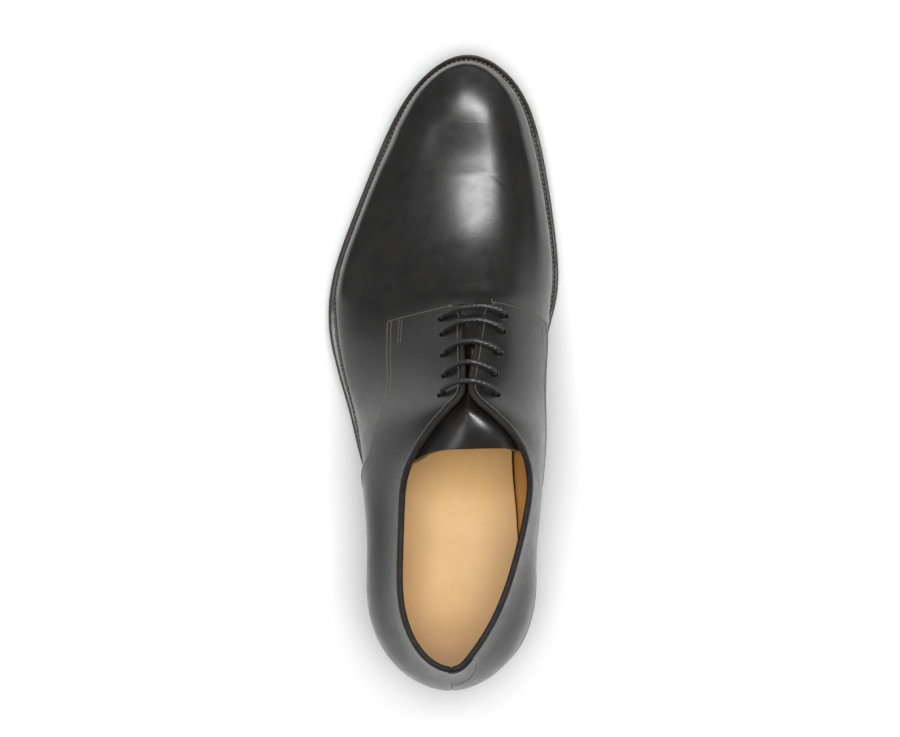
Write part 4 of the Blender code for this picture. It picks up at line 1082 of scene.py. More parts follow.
def build_binding():
    """The rolled leather binding over the collar's and the facings' edges, deeper inside at the heel as
    painted shade.
    """
    parts = []
    for side, toward in zip(SIDES, (-1, 1)):
        grid = quarter_grid(side)
        outward = grid_directions(grid, (toward, 0, 0))[:, -1]
        up = unit_rows(grid[:, -1] - grid[:, -2])
        parts.append(np.stack([grid[:, -1], outward, up], axis=1))
    path = np.concatenate([parts[0][::-1], parts[1][1:]])
    points, outward, up = path[:, 0], path[:, 1], path[:, 2]
    hops = np.concatenate([[0], np.cumsum(np.linalg.norm(np.diff(points, axis=0), axis=1))])
    from_end = np.minimum(hops, hops[-1] - hops)
    on_vamp = smooth_step(1 - (from_end - BINDING_ON_VAMP) / BINDING_ON_VAMP)
    thick = WALL + (QUARTER_STEP - WALL) * on_vamp
    half = thick / 2 + BINDING_THICK * smooth_step(from_end / BINDING_ON_VAMP + BINDING_END)
    # Round the heel's back the dark binding reaches further down inside, a band of painted shade.
    inside = BINDING_INSIDE * (1 - on_vamp) + PAINTED_HEEL_SHADE * smooth_step(-points[:, 1] / PAINTED_HEEL_SHADE_BLEND)
    rows = []
    for turn in np.linspace(0, math.pi, BINDING_TURNS):
        rows.append((half * math.cos(turn), half * (math.sin(turn) - BINDING_SEAT)))
    outside = (half, -BINDING_OUTSIDE - half)
    profile = [outside, *rows, (-half, -inside - half), (-half + 2 * BINDING_THICK, -inside - half)]
    core = (np.zeros_like(half), -half * BINDING_CORE)
    profile += [core, (half - 2 * BINDING_THICK, outside[1]), outside]
    grid = []
    for out, rise in profile:
        grid.append(points + outward * (out - thick / 2)[:, None] + up * rise[:, None])
    rings = with_poles(np.stack(grid, axis=1))
    binding = piece_mesh("collar_binding", [rings], (0, 0, 1), [binding_material()])
    return settle(binding, "calf")


def build_backing():
    """Black leather behind the facings, seen through the eyelets."""
    base = skin()
    grids = []
    for side in SIDES:
        ends = base.last.station(side + " facing end"), base.last.station(side + " throat")
        places = np.linspace(*ends, BACKING_COLUMNS)[:, None]
        down = BACKING_EDGE + (BACKING_WIDE - BACKING_EDGE) * np.linspace(0, 1, BACKING_ROWS)[None, :]
        shares = base.along(base.rims, places) - down / base.along(base.lengths, places)
        points, outward = base.at(places, shares)
        grids.append(points - outward * BACKING_DEEP)
    backing = piece_mesh("facing_backing", grids, (0, 0, 1), [binding_material()])
    thicken(backing, BACKING_THICK)
    return settle(backing, "calf")


@functools.lru_cache
def tab_grid():
    """Outer surface of the back tab: under the rim, rounded on the inner side, its edge sloped down."""
    base = skin()
    across = np.linspace(-TAB_OUTER, TAB_INNER, TAB_COLUMNS)
    depth = TAB_DEEP * np.sqrt(np.clip(1 - (np.maximum(across, 0) / TAB_INNER) ** 2, 0, 1))
    depth *= smooth_step((across + TAB_OUTER) / TAB_OUTER)
    places = base.round - across
    rims = base.along(base.rims, places)
    lengths = base.along(base.lengths, places)
    down = np.linspace(TAB_START, 1, TAB_ROWS)
    shares = rims[:, None] - depth[:, None] * down[None, :] / lengths[:, None]
    points, outward = base.at(places[:, None], shares)
    edge = np.minimum(depth[:, None] * (1 - down[None, :]), (TAB_INNER - across)[:, None])
    return points + outward * (QUARTER_STEP + TAB_THICK * smooth_step(edge / TAB_EDGE))[..., None]


def build_tab():
    """The tab over the top of the back seam."""
    tab = piece_mesh("back_tab", [tab_grid()], (0, -1, 0), [calf_material()])
    thicken(tab, TAB_THICK)
    return settle(tab, "calf")


class Eyelet:
    """One eyelet: its place on the wall, the way out of the wall, and the way to the facings' gap."""

    def __init__(self, place):
        self.points, self.normals, self.length = skin().wall(place)
        self.edge = float(skin().along(skin().rims, place))
        self.share = self.edge - EYELET_TO_EDGE / self.length
        self.centre = at_share(self.points, self.share)
        self.out = unit(at_share(self.normals, self.share))
        ahead = at_share(self.points, self.share + EYELET_RADIUS / self.length) - self.centre
        self.to_gap = unit(ahead - self.out * (ahead @ self.out))

    def over(self, distance, height, to_toe):
        """A point over the wall, at a distance from the eyelet towards the gap, bowed to the toe."""
        share = self.share + distance / self.length
        bow = to_toe * math.sin(math.pi / 2 * distance / (EYELET_TO_EDGE + FACING_GAP_TOP / 2))
        return at_share(self.points, share) + unit(at_share(self.normals, share)) * height + bow


@functools.lru_cache
def eyelets():
    """The eyelets of the outer and of the inner facing, from the throat up."""
    last = skin().last
    dense = np.linspace(last.station("outer throat"), last.station("outer facing end"), DENSE)
    tops = np.array([last.top(place) for place in dense])
    walked = np.concatenate([[0], np.cumsum(np.linalg.norm(np.diff(tops, axis=0), axis=1))])
    outer = [float(np.interp(FIRST_EYELET + EYELET_PITCH * step, walked, dense)) for step in range(EYELETS)]
    inner_dense = np.linspace(last.station("inner throat"), last.station("inner facing end"), DENSE)
    along = np.array([last.top(place)[1] for place in inner_dense])
    inner = [float(np.interp(-last.top(place)[1], -along, inner_dense)) for place in outer]
    return [Eyelet(place) for place in outer], [Eyelet(place) for place in inner]


def lace_route():
    """Middle line of the lace: each bar over the facings, and the runs under them that join the bars."""
    outer, inner = eyelets()
    route = []
    for step in range(EYELETS):
        start, end = (inner, outer) if step % 2 == 0 else (outer, inner)
        if step:
            route.extend(run_under(start[step - 1], start[step]))
        low, high = max(step - 1, 0), max(step, 1)
        to_toe = unit(outer[low].centre + inner[low].centre - outer[high].centre - inner[high].centre)
        route.extend(half_bar(start[step], to_toe * BAR_BOWS[step]))
        route.extend(half_bar(end[step], to_toe * BAR_BOWS[step])[::-1])
    return np.array(route)


def run_under(start, end):
    """The lace's run under a facing from one eyelet to the next."""
    run = unit(end.centre - start.centre)
    middle = (start.centre + end.centre) / 2 - unit(start.out + end.out) * LACE_DEPTH
    first = []
    last = []
    for along, up in RUN_START:
        first.append(start.centre - start.out * (LACE_DEPTH - up * LACE_RADIUS) + run * along * LACE_RADIUS)
        last.append(end.centre - end.out * (LACE_DEPTH - up * LACE_RADIUS) - run * along * LACE_RADIUS)
    return [*first, middle, *last[::-1]]


def half_bar(eyelet, to_toe):
    """The lace up through an eyelet and over the facing to its edge."""
    over = QUARTER_STEP + LACE_RADIUS + LACE_OVER
    climb = [
        eyelet.centre - eyelet.out * WALL,
        eyelet.centre + eyelet.out * LACE_RADIUS / 2,
        eyelet.centre + eyelet.out * (over - LACE_RADIUS * 2 / 3) + eyelet.to_gap * LACE_OVER,
    ]
    return climb + [eyelet.over(EYELET_TO_EDGE * share, over, to_toe) for share in BAR_SHARES]


def soften_line(line, rounds):
    """Cut a line's corners again and again, with its ends kept."""
    for _ in range(rounds):
        near = line[:-1] * (1 - CORNER_CUT) + line[1:] * CORNER_CUT
        far = line[:-1] * CORNER_CUT + line[1:] * (1 - CORNER_CUT)
        middle = np.stack([near, far], axis=1).reshape(-1, 3)
        line = np.concatenate([line[:1], middle, line[-1:]])
    return line


def tube_grid(line, radius, sides):
    """Rings round a line, each turned on from the one before, with the seam below."""
    ahead = unit_rows(np.gradient(line, axis=0))
    side = unit(np.cross(ahead[0], (0, 0, 1)))
    rings = []
    for spot, way in zip(line, ahead):
        side = unit(side - way * (side @ way))
        up = np.cross(way, side)
        around = np.linspace(0, 2 * math.pi, sides + 1) + math.pi / 2
        rings.append(spot + (np.cos(around)[:, None] * side + np.sin(around)[:, None] * up) * radius)
    return np.array(rings)


def with_poles(grid):
    """Rings of points with both ends closed in a point."""
    ends = [np.broadcast_to(ring[:-1].mean(axis=0), ring.shape) for ring in (grid[0], grid[-1])]
    return np.concatenate([ends[:1], grid, ends[1:]])


def build_lace():
    """The round lace, with its run along and its turn round kept for the strands' look."""
    line = even_line(soften_line(lace_route(), 3), LACE_STEP)
    radius = shoe_sizes().lace_diameter / 2
    grid = tube_grid(line, radius, LACE_SIDES)
    along = np.repeat(np.arange(len(line)) * LACE_STEP, LACE_SIDES + 1)
    around = np.tile(np.linspace(0, 2 * math.pi, LACE_SIDES + 1), len(line))
    along = np.concatenate([along[:LACE_SIDES + 1], along, along[-LACE_SIDES - 1:]])
    around = np.concatenate([around[:LACE_SIDES + 1], around, around[:LACE_SIDES + 1]])
    values = {"lace_along": along, "lace_cos": np.cos(around), "lace_sin": np.sin(around)}
    lace = piece_mesh("lace_cord", [with_poles(grid)], (0, 0, 1), [lace_material()], values)
    return settle(lace, "lace_cotton", "lace")


def tongue_grid():
    """Outer surface of the tongue, from its root under the vamp to its free end."""
    base = skin()
    last = base.last
    table = {name: column_of(TONGUE, TONGUE_COLUMNS, name) for name in TONGUE_COLUMNS}
    marks = np.arange(len(TONGUE))
    outer_knots = [last.station(name) for name in table["outer"]]
    inner_knots = [last.station(name) for name in table["inner"]]
    next_outer = last.station("outer collar rise")
    outer_knots[-1] += (next_outer - outer_knots[-1]) * TONGUE_TIP
    for knots in (outer_knots, inner_knots):
        knots[0] = knots[1] + (knots[0] - knots[1]) * TONGUE_ROOT
    rows = []
    for mark in np.linspace(0, marks[-1], len(marks) * 3 - 2):
        values = {name: float(np.interp(mark, marks, table[name])) for name in TONGUE_COLUMNS[2:]}
        side_depth = WALL + GAP + values["side_depth"] * LACE_ROOM
        middle_depth = WALL + GAP + values["middle_depth"] * LACE_ROOM
        sides = []
        tops = []
        ups = []
        for knots in (outer_knots, inner_knots):
            place = float(np.interp(mark, marks, knots))
            points, normals, length = base.wall(place)
            edge = 1 - facing_open(last, place) / length
            side = []
            for share in TONGUE_SHARES:
                spot = edge - values["under"] * TONGUE_UNDER / length * share
                depth = side_depth + (middle_depth - side_depth) * (1 - share) ** 2
                side.append(at_share(points, spot) - at_share(normals, spot) * depth)
            sides.append(side)
            tops.append(last.top(place))
            ups.append(at_share(normals, edge))
        middle = (tops[0] + tops[1]) / 2 - unit(ups[0] + ups[1]) * middle_depth
        middle[2] += values["crown"] * TONGUE_CROWN
        rows.append(spline_points(np.array([*sides[0], middle, *sides[1][::-1]]), TONGUE_ACROSS))
    rows = np.array(rows)
    columns = []
    for column in range(TONGUE_ACROSS):
        across = column / (TONGUE_ACROSS - 1)
        more = TONGUE_OUTER_CORNER * max(0, 1 - across / CORNER_ACROSS) ** 2
        more += TONGUE_INNER_CORNER * max(0, 1 - (1 - across) / CORNER_ACROSS) ** 2
        columns.append(spline_points(rows[:, column], TONGUE_ALONG, 1 + more))
    return np.array(columns).transpose(1, 0, 2)


def spline_points(control, count, reach=1.0):
    """Evenly spread points of a smooth curve through control points, carried on beyond its end if wanted."""
    knots = np.concatenate([[0], np.cumsum(np.linalg.norm(np.diff(control, axis=0), axis=1))])
    curves = [spline(knots, control[:, axis], False) for axis in range(3)]
    return [[curve(place) for curve in curves] for place in np.linspace(0, knots[-1] * reach, count)]


def build_tongue():
    """The tongue, a leaf under the facings."""
    grid = tongue_grid()
    tongue = piece_mesh("tongue_leather", [grid], (0, 0, 1), [calf_material()])
    thicken(tongue, TONGUE_THICK, EDGE_ROUND)
    return settle(tongue, "calf", "tongue")


@functools.lru_cache
def sole_pairs():
    """Places of the outer and inner side that lie as far along, from the heel's back to the toe's tip."""
    last = skin().last
    dense = np.linspace(-last.round / 4, last.round * 3 / 4, DENSE * 6)
    along = np.array([last.foot(place)[1] for place in dense])
    heel, toe = along.argmin(), along.argmax()
    wanted = along[heel] + (along[toe] - along[heel]) * (1 - np.cos(np.linspace(0, math.pi, SOLE_PAIRS))) / 2
    outer = np.interp(wanted, along[heel:toe + 1], dense[heel:toe + 1])
    inner_dense = np.linspace(dense[toe], dense[heel] + last.round, DENSE * 6)
    inner_along = np.array([last.foot(place)[1] for place in inner_dense])
    inner = np.interp(-wanted, -inner_along, inner_dense)
    return outer, inner


def plate_grids(profile):
    """Grids of a plate: its edge, its underside and its top, the profile going from below round the edge."""
    last = skin().last
    outer, inner = sole_pairs()
    ring = np.concatenate([outer, inner[::-1]])
    rows = []
    for beyond, height in profile:
        plan = np.array([last.foot(place) + last.foot_out(place) * beyond(place) for place in ring])
        rows.append([[x, y, height(y)] for x, y in plan])
    rows = np.array(rows)
    grids = [np.concatenate([rows, rows[:, :1]], axis=1)]
    share = np.linspace(0, 1, PLATE_ACROSS)[None, :, None]
    for row, height in ((rows[0], profile[0][1]), (rows[-1], profile[-1][1])):
        left = row[:SOLE_PAIRS][:, None]
        right = row[SOLE_PAIRS:][::-1][:, None]
        fill = left + (right - left) * share
        fill[..., 2] = np.vectorize(height)(fill[..., 1])
        fill[:, 0] = left[:, 0]
        fill[:, -1] = right[:, 0]
        grids.append(fill)
    return grids


def build_outsole():
    """The leather sole with a dressed edge."""
    ledge = skin().last.loops["ledge"]
    profile = []
    for inward, rise in OUTSOLE_EDGE:
        profile.append((lambda place, inward=inward: ledge(place) - inward * OUTSOLE_THICK,
                        lambda y, rise=rise: underside_height(y) + rise * OUTSOLE_THICK))
    sole = piece_mesh("sole_leather", plate_grids(profile), (0, 0, 1), [sole_edge_material()])
    return settle(sole, "sole_leather", "outsole")


def build_welt():
    """The welt: a strip round the shoe with rounded edges and a shallow channel for its stitches."""
    last = skin().last
    places = np.linspace(0, last.round, WELT_STATIONS + 1)
    inner = -(WALL + WELT_UNDER_WALL)
    rows = []
    for from_foot, inward, rise in (*WELT_EDGE, WELT_EDGE[0]):
        row = []
        for place in places:
            ledge = last.loops["ledge"](place)
            beyond = inner if from_foot < 0 else ledge * from_foot - inward
            x, y = last.foot(place) + last.foot_out(place) * beyond
            row.append([x, y, underside_height(y) + OUTSOLE_THICK + GAP / 2 + rise * (WELT_THICK + GAP / 2)])
        rows.append(row)
    welt = piece_mesh("welt_strip", [np.array(rows)], (0, 0, 1), [welt_material()])
    return settle(welt, "welt_leather", "welt")


def build_sock():
    """The tan sock inside: a thin leaf on the insole with a slightly raised edge."""
    level = INSOLE_ABOVE_WELT
    inward = WALL
    profile = []
    for more, rise in SOCK_EDGE:
        profile.append((lambda place, more=more: -inward - more,
                        lambda y, rise=rise: foot_height(y) + level + rise))
    sock = piece_mesh("sock", plate_grids(profile), (0, 0, 1), [sock_material()])
    insole = piece_mesh("insole_board", plate_grids([
        (lambda place: -inward - GAP, lambda y: foot_height(y)),
        (lambda place: -inward - GAP, lambda y: foot_height(y) + level),
    ]), (0, 0, 1), [sock_material()])
    settle(sock, "insole_leather")
    return settle(insole, "insole_leather", "insole")


def heel_loop(beyond, inward):
    """Plan of the heel: its two sides and the hollowed breast, drawn in all round by a small distance."""
    last = skin().last
    dense = np.linspace(-last.round / 4, last.round / 4, DENSE * 3)
    plan = np.array([last.sole_edge(place, beyond) for place in dense])
    plan = plan[plan[:, 1] < BREAST_ALONG]
    outer_end = plan[-1] + [0, BREAST_ALONG - plan[-1][1]]
    inner_end = plan[0] + [0, BREAST_ALONG - plan[0][1]]
    share = np.linspace(0, 1, HEEL_BREAST)[:, None]
    breast = outer_end + (inner_end - outer_end) * share
    breast[:, 1] -= BREAST_HOLLOW * np.sin(math.pi * share[:, 0])
    side = np.column_stack([plan, np.zeros(len(plan))])
    side = even_line(side, side_step(side, HEEL_SIDE))[:, :2]
    loop = np.concatenate([side, breast[1:-1]])
    ahead = np.roll(loop, -1, axis=0) - np.roll(loop, 1, axis=0)
    out = unit_rows(np.column_stack([-ahead[:, 1], ahead[:, 0]]))
    return loop - out * inward


def side_step(line, count):
    """The step that goes into a line the given number of times and a half."""
    return np.linalg.norm(np.diff(line, axis=0), axis=1).sum() / (count + 0.5)


def heel_plate(name, levels, material, slot, node):
    """A heel piece from plan loops: how far beyond the sole's edge, how far drawn in, and each height."""
    rows = []
    for beyond, inward, height in levels:
        loop = heel_loop(beyond, inward)
        rows.append([[x, y, height(y)] for x, y in loop])
    rows = np.array(rows)
    rows = np.concatenate([rows, rows[:, :1]], axis=1)
    lids = []
    for row in (rows[0], rows[-1]):
        centre = row.mean(axis=0)
        lids.append(np.array([centre + (row - centre) * share for share in HEEL_LID_RINGS]))
    piece = piece_mesh(name, [rows, *lids], (0, 0, 1), [material])
    return settle(piece, slot, node)


def build_heel_stack():
    """Leather lifts with a fine line between one and the next."""
    levels = []
    for lift in range(LIFTS):
        for share, inward in LIFT_EDGE:
            rise = (lift + share) / LIFTS
            levels.append((HEEL_FLARE * (1 - rise), inward * LIFT_LINE,
                           lambda y, rise=rise: stack_height(y, rise)))
    return heel_plate("heel_lifts", levels, heel_material(), "heel_leather", "heel_stack")


def stack_height(along, rise):
    """Height of a lift's edge between the top lift and the sole."""
    low = LIFT_THICK + GAP / 2
    return low + (underside_height(along) - GAP / 2 - low) * rise


def build_top_lift():
    """The walking piece under the heel."""
    levels = []
    for share, inward in TOP_LIFT_EDGE:
        levels.append((HEEL_FLARE + LIFT_FLARE * (1 - share), inward * LIFT_THICK,
                       lambda y, share=share: LIFT_THICK * share))
    return heel_plate("top_lift_rubber", levels, top_lift_material(), "top_lift_rubber", "top_lift")


def add_node(tree, kind, values=(), links=(), **settings):
    """Add a node with its settings, socket values and links from other sockets."""
    node = tree.nodes.new(kind)
    for name, value in settings.items():
        setattr(node, name, value)
    for socket, value in dict(values).items():
        node.inputs[socket].default_value = value
    for socket, source in dict(links).items():
        tree.links.new(source, node.inputs[socket])
    return node


@functools.lru_cache
def stitch_tree():
    """Stitches along lines: each line is walked by the pitch, and a rounded stitch lies at each step."""
    tree = bpy.data.node_groups.new("stitch row", "GeometryNodeTree")
    tree.interface.new_socket("Lines", in_out="INPUT", socket_type="NodeSocketGeometry")
    for name in ("Pitch", "Length", "Width", "Height"):
        tree.interface.new_socket(name, in_out="INPUT", socket_type="NodeSocketFloat")
    tree.interface.new_socket("Thread", in_out="INPUT", socket_type="NodeSocketMaterial")
    tree.interface.new_socket("Stitches", in_out="OUTPUT", socket_type="NodeSocketGeometry")
    given = add_node(tree, "NodeGroupInput").outputs
    lines = add_node(tree, "GeometryNodeMeshToCurve", links={"Mesh": given["Lines"]})
    walked = add_node(tree, "GeometryNodeResampleCurve", mode="LENGTH",
                      links={"Curve": lines.outputs["Curve"], "Length": given["Pitch"]})
    tangent = add_node(tree, "GeometryNodeInputTangent")
    outward = add_node(tree, "GeometryNodeInputNamedAttribute", {"Name": "outward"}, data_type="FLOAT_VECTOR")
    ahead = add_node(
        tree, "FunctionNodeAlignRotationToVector", axis="X", links={"Vector": tangent.outputs[0]})
    turned = add_node(tree, "FunctionNodeAlignRotationToVector", axis="Z", pivot_axis="X",
                      links={"Rotation": ahead.outputs[0], "Vector": outward.outputs[0]})
    half = add_node(tree, "ShaderNodeCombineXYZ",
                    links={"X": given["Length"], "Y": given["Width"], "Z": given["Height"]})
    bead = add_node(tree, "GeometryNodeMeshUVSphere", {"Segments": 8, "Rings": 6, "Radius": 0.5})
    placed = add_node(tree, "GeometryNodeInstanceOnPoints", links={
        "Points": walked.outputs["Curve"], "Instance": bead.outputs["Mesh"],
        "Rotation": turned.outputs[0], "Scale": half.outputs[0],
    })
    real = add_node(tree, "GeometryNodeRealizeInstances", links={"Geometry": placed.outputs["Instances"]})
    smooth = add_node(tree, "GeometryNodeSetShadeSmooth", links={"Geometry": real.outputs["Geometry"]})
    done = add_node(tree, "GeometryNodeSetMaterial",
                    links={"Geometry": smooth.outputs["Geometry"], "Material": given["Thread"]})
    add_node(tree, "NodeGroupOutput", links={"Stitches": done.outputs["Geometry"]})
    return tree


def stitch_piece(name, rows, sizes, thread, slot):
    """One piece of stitches from rows of (points, outward directions)."""
    points = np.concatenate([line for line, outward in rows])
    outward = np.concatenate([outward for line, outward in rows])
    edges = []
    start = 0
    for line, _ in rows:
        edges += [(start + step, start + step + 1) for step in range(len(line) - 1)]
        start += len(line)
    mesh = bpy.data.meshes.new(name)
    mesh.from_pydata(points.tolist(), edges, [])
    mesh.attributes.new("outward", "FLOAT_VECTOR", "POINT").data.foreach_set("vector", outward.ravel())
    piece = bpy.data.objects.new(name, mesh)
    bpy.context.scene.collection.objects.link(piece)
    nodes = piece.modifiers.new("stitches", "NODES")
    nodes.node_group = stitch_tree()
    given = {"Thread": thread, **dict(zip(("Pitch", "Length", "Width", "Height"), sizes))}
    for socket in stitch_tree().interface.items_tree:
        if socket.in_out == "INPUT" and socket.name in given:
            nodes[socket.identifier] = given[socket.name]
    return settle(piece, slot)


def quarter_row(side, edge, inward, keep):
    """A row on a quarter at a distance from one of its edges, kept where the given test holds."""
    line, into = quarter_edges(side)[edge]
    ahead = unit_rows(np.gradient(line, axis=0))
    into = unit_rows(into - ahead * (into * ahead).sum(axis=1, keepdims=True))
    tree, places = quarter_tree(side)
    row = []
    outs = []
    for spot in even_line(line + into * inward, ROW_STEP):
        _, index, _ = tree.find(spot)
        point, outward = places[0][index], places[1][index]
        row.append(spot - outward * ((spot - point) @ outward))
        outs.append(outward)
    row = np.array(row)
    outs = np.array(outs)
    kept = keep(row)
    return row[kept] - outs[kept] * STITCH_SUNK, outs[kept]


@functools.lru_cache
def quarter_tree(side):
    """The quarter's surface points, to be found by their place."""
    grid = quarter_grid(side)
    outward = grid_directions(grid, (-1 if side == "outer" else 1, 0, 0))
    tree = KDTree(grid.shape[0] * grid.shape[1])
    for index, spot in enumerate(grid.reshape(-1, 3)):
        tree.insert(spot, index)
    tree.balance()
    return tree, (grid.reshape(-1, 3), outward.reshape(-1, 3))


def upper_rows():
    """Rows along the quarters' edges, short double rows behind the front corners, and the collar's row."""
    rows = []
    for side in SIDES:
        lower, front, rim = [edge[0] for edge in quarter_edges(side)]
        for inward in SEAM_ROWS:
            rows.append(quarter_row(side, 0, inward, lambda row: distance_to(row, front) > SEAM_ROWS[0]))
        rows.append(quarter_row(side, 1, SEAM_ROWS[0], lambda row: (
            (distance_to(row, lower) > SEAM_ROWS[0]) & (distance_to(row, rim) > ROW_TURN))))
        rows.append(quarter_row(side, 2, RIM_ROW, lambda row: distance_to(row, front) > SEAM_ROWS[0]))
        for inward in TACK_ROWS:
            rows.append(quarter_row(side, 0, inward, lambda row: near_front(row, front)))
    return rows


def near_front(row, front):
    """Which of a row's points lie in the short double rows behind a front corner."""
    away = distance_to(row, front)
    return (away > TACK_START) & (away < TACK_START + TACK_LENGTH)


def build_stitches():
    """The upper's stitches along all their rows."""
    sizes = shoe_sizes()
    thread = thread_material()
    rows = upper_rows()
    rows.append(tab_row())
    fine = (sizes.stitch_pitch, sizes.stitch_pitch * STITCH_FILL, THREAD_WIDTH, THREAD_HEIGHT)
    stitch_piece("upper_stitches", rows, fine, thread, "calf")
    coarse = (sizes.welt_pitch, sizes.welt_pitch * STITCH_FILL, WELT_THREAD, WELT_THREAD)
    stitch_piece("welt_stitches", [welt_row()], coarse, thread, "welt_leather")


def tab_row():
    """The row of stitches round the back tab."""
    grid = tab_grid()
    outward = grid_directions(grid, (0, -1, 0))
    column = int(TAB_ROWS * TAB_ROW_AT)
    line = grid[TAB_ROW_ENDS:-TAB_ROW_ENDS, column]
    out = outward[TAB_ROW_ENDS:-TAB_ROW_ENDS, column]
    return line - out * STITCH_SUNK, out


def welt_row():
    """The welt's stitches, in the middle of what shows of it, all the way round the shoe."""
    last = skin().last
    row = []
    for place in np.linspace(0, last.round, WELT_STATIONS * 2):
        x, y = last.foot(place) + last.foot_out(place) * last.loops["ledge"](place) * WELT_ROW_AT
        row.append([x, y, welt_top(y) + WELT_THREAD * WELT_STITCH_RISE])
    row = np.array(row)
    return row, np.tile((0.0, 0.0, 1.0), (len(row), 1))


def build_lining_seam():
    """The seam between the lining of the quarter and that of the vamp, on the inner side."""
    base = skin()
    share = np.linspace(0, 1, SEAM_POINTS)
    behind = LINING_SEAM_LOW + (LINING_SEAM_TOP - LINING_SEAM_LOW) * share
    places = base.round + base.last.station("heel back") - behind
    rims = base.along(base.rims, places)
    shares = LINING_SEAM_FROM + (rims - LINING_SEAM_FROM) * share
    points, outward = base.at(places, shares)
    seams = base.along(base.seams, places)
    thin = np.clip((shares - seams) / (rims - seams), 0, 1) * QUARTER_STEP
    line = points - outward * (WALL - thin)[:, None]
    tube = with_poles(tube_grid(line, LINING_SEAM_RADIUS, LINING_SEAM_SIDES))
    seam = piece_mesh("lining_seam", [tube], (0, 0, 1), [lining_thread_material()])
    return settle(seam, "insole_leather")


def linear(code):
    """A hex colour as linear red, green, blue and alpha."""
    parts = [int(code[spot:spot + 2], 16) / 255 for spot in (1, 3, 5)]
    return (*[part / 12.92 if part <= 0.04045 else ((part + 0.055) / 1.055) ** 2.4 for part in parts], 1.0)


def new_material(name, roughness, **sockets):
    """A material with its shader's plain values set, and the object's own coordinates."""
    material = bpy.data.materials.new(name)
    material.use_nodes = True
    tree = material.node_tree
    shader = tree.nodes["Principled BSDF"]
    shader.inputs["Roughness"].default_value = roughness
    for socket, value in sockets.items():
        shader.inputs[socket.replace("_", " ")].default_value = value
    place = add_node(tree, "ShaderNodeTexCoord").outputs["Object"]
    return material, tree, shader, place


def noise(tree, place, grain, detail=2.0, stretch=(1, 1, 1)):
    """Noise whose features are about the given size in metres, drawn out along an axis if wanted."""
    moved = add_node(tree, "ShaderNodeMapping", {"Scale": stretch}, {"Vector": place})
    found = add_node(tree, "ShaderNodeTexNoise", {"Scale": 1 / grain, "Detail": detail},
                     {"Vector": moved.outputs[0]})
    return found.outputs["Fac"]


def spread(tree, value, low, high):
    """A noise value brought to a range."""
    return add_node(tree, "ShaderNodeMapRange", {1: 0.3, 2: 0.7, 3: low, 4: high}, {0: value}).outputs[0]


def two_tone(tree, shader, value, first, second):
    """A colour that goes from one tone to another with a value."""
    colours = {6: linear(first), 7: linear(second)}
    tones = add_node(tree, "ShaderNodeMix", colours, {0: value}, data_type="RGBA")
    tree.links.new(tones.outputs[2], shader.inputs["Base Color"])
    return tones.outputs[2]


def bump(tree, shader, layers):
    """Bump from (height value, depth in metres) layers, one on another. Coat and leather share it."""
    normal = None
    for height, depth in layers:
        node = add_node(tree, "ShaderNodeBump", {"Distance": depth}, {"Height": height})
        if normal is not None:
            tree.links.new(normal, node.inputs["Normal"])
        normal = node.outputs["Normal"]
    tree.links.new(normal, shader.inputs["Normal"])
    tree.links.new(normal, shader.inputs["Coat Normal"])


def trough(tree, name, at, width):
    """A soft trough, 1 in its middle, where a distance kept on the mesh has the given value."""
    away = add_node(tree, "ShaderNodeAttribute", attribute_name=name).outputs["Fac"]
    off = add_node(tree, "ShaderNodeMath", {1: at}, {0: away}, operation="SUBTRACT").outputs[0]
    share = add_node(tree, "ShaderNodeMath", {1: width}, {0: off}, operation="DIVIDE").outputs[0]
    square = add_node(tree, "ShaderNodeMath", {1: 2.0}, {0: share}, operation="POWER").outputs[0]
    raised = add_node(tree, "ShaderNodeMath", {1: 1.0}, {0: square}, operation="ADD").outputs[0]
    return add_node(tree, "ShaderNodeMath", {0: 1.0}, {1: raised}, operation="DIVIDE").outputs[0]


def calf_finish(name):
    """Black box calf, polished: a fine even grain under a soft shine, with slight clouds in the polish."""
    material, tree, shader, place = new_material(name, 0.34, Coat_Weight=0.3, Coat_Roughness=0.24)
    clouds = noise(tree, place, 0.014, 3)
    two_tone(tree, shader, spread(tree, clouds, 0, 1), shoe_colours().calf, shoe_colours().calf_worn)
    tree.links.new(spread(tree, noise(tree, place, 0.006, 4), 0.31, 0.41), shader.inputs["Roughness"])
    pores = add_node(tree, "ShaderNodeTexVoronoi", {"Scale": 1 / 0.0007}, {"Vector": place},
                     feature="SMOOTH_F1")
    layers = [(noise(tree, place, 0.0022, 2), 0.00002), (pores.outputs["Distance"], 0.00001),
              (noise(tree, place, 0.0004, 2), 0.000008)]
    return material, tree, shader, layers


@functools.lru_cache
def calf_material():
    """Vamp, tongue and tab."""
    material, tree, shader, layers = calf_finish("black calf")
    bump(tree, shader, layers)
    return material


@functools.lru_cache
def quarter_material():
    """The quarters' calf, pressed in along the stitch rows and closed at the back seam."""
    material, tree, shader, layers = calf_finish("black calf quarters")
    for name, at, depth in (("edge_distance", SEAM_ROWS[0], ROW_DEPTH),
                            ("curve_distance", SEAM_ROWS[1], ROW_DEPTH),
                            ("back_distance", 0.0, BACK_SEAM_PRESSED)):
        height = add_node(tree, "ShaderNodeMath", {1: -1.0}, {0: trough(tree, name, at, ROW_TROUGH)},
                          operation="MULTIPLY").outputs[0]
        layers.append((height, depth))
    bump(tree, shader, layers)
    return material


@functools.lru_cache
def binding_material():
    """The collar's folded calf edge, a little duller and browner than the rest."""
    material, tree, shader, place = new_material("black calf edge", 0.75, Specular_IOR_Level=0.25)
    two_tone(tree, shader, spread(tree, noise(tree, place, 0.003, 3), 0, 1), "#1D1B19", "#2E2A27")
    bump(tree, shader, [(noise(tree, place, 0.0008, 3), 0.00008)])
    return material


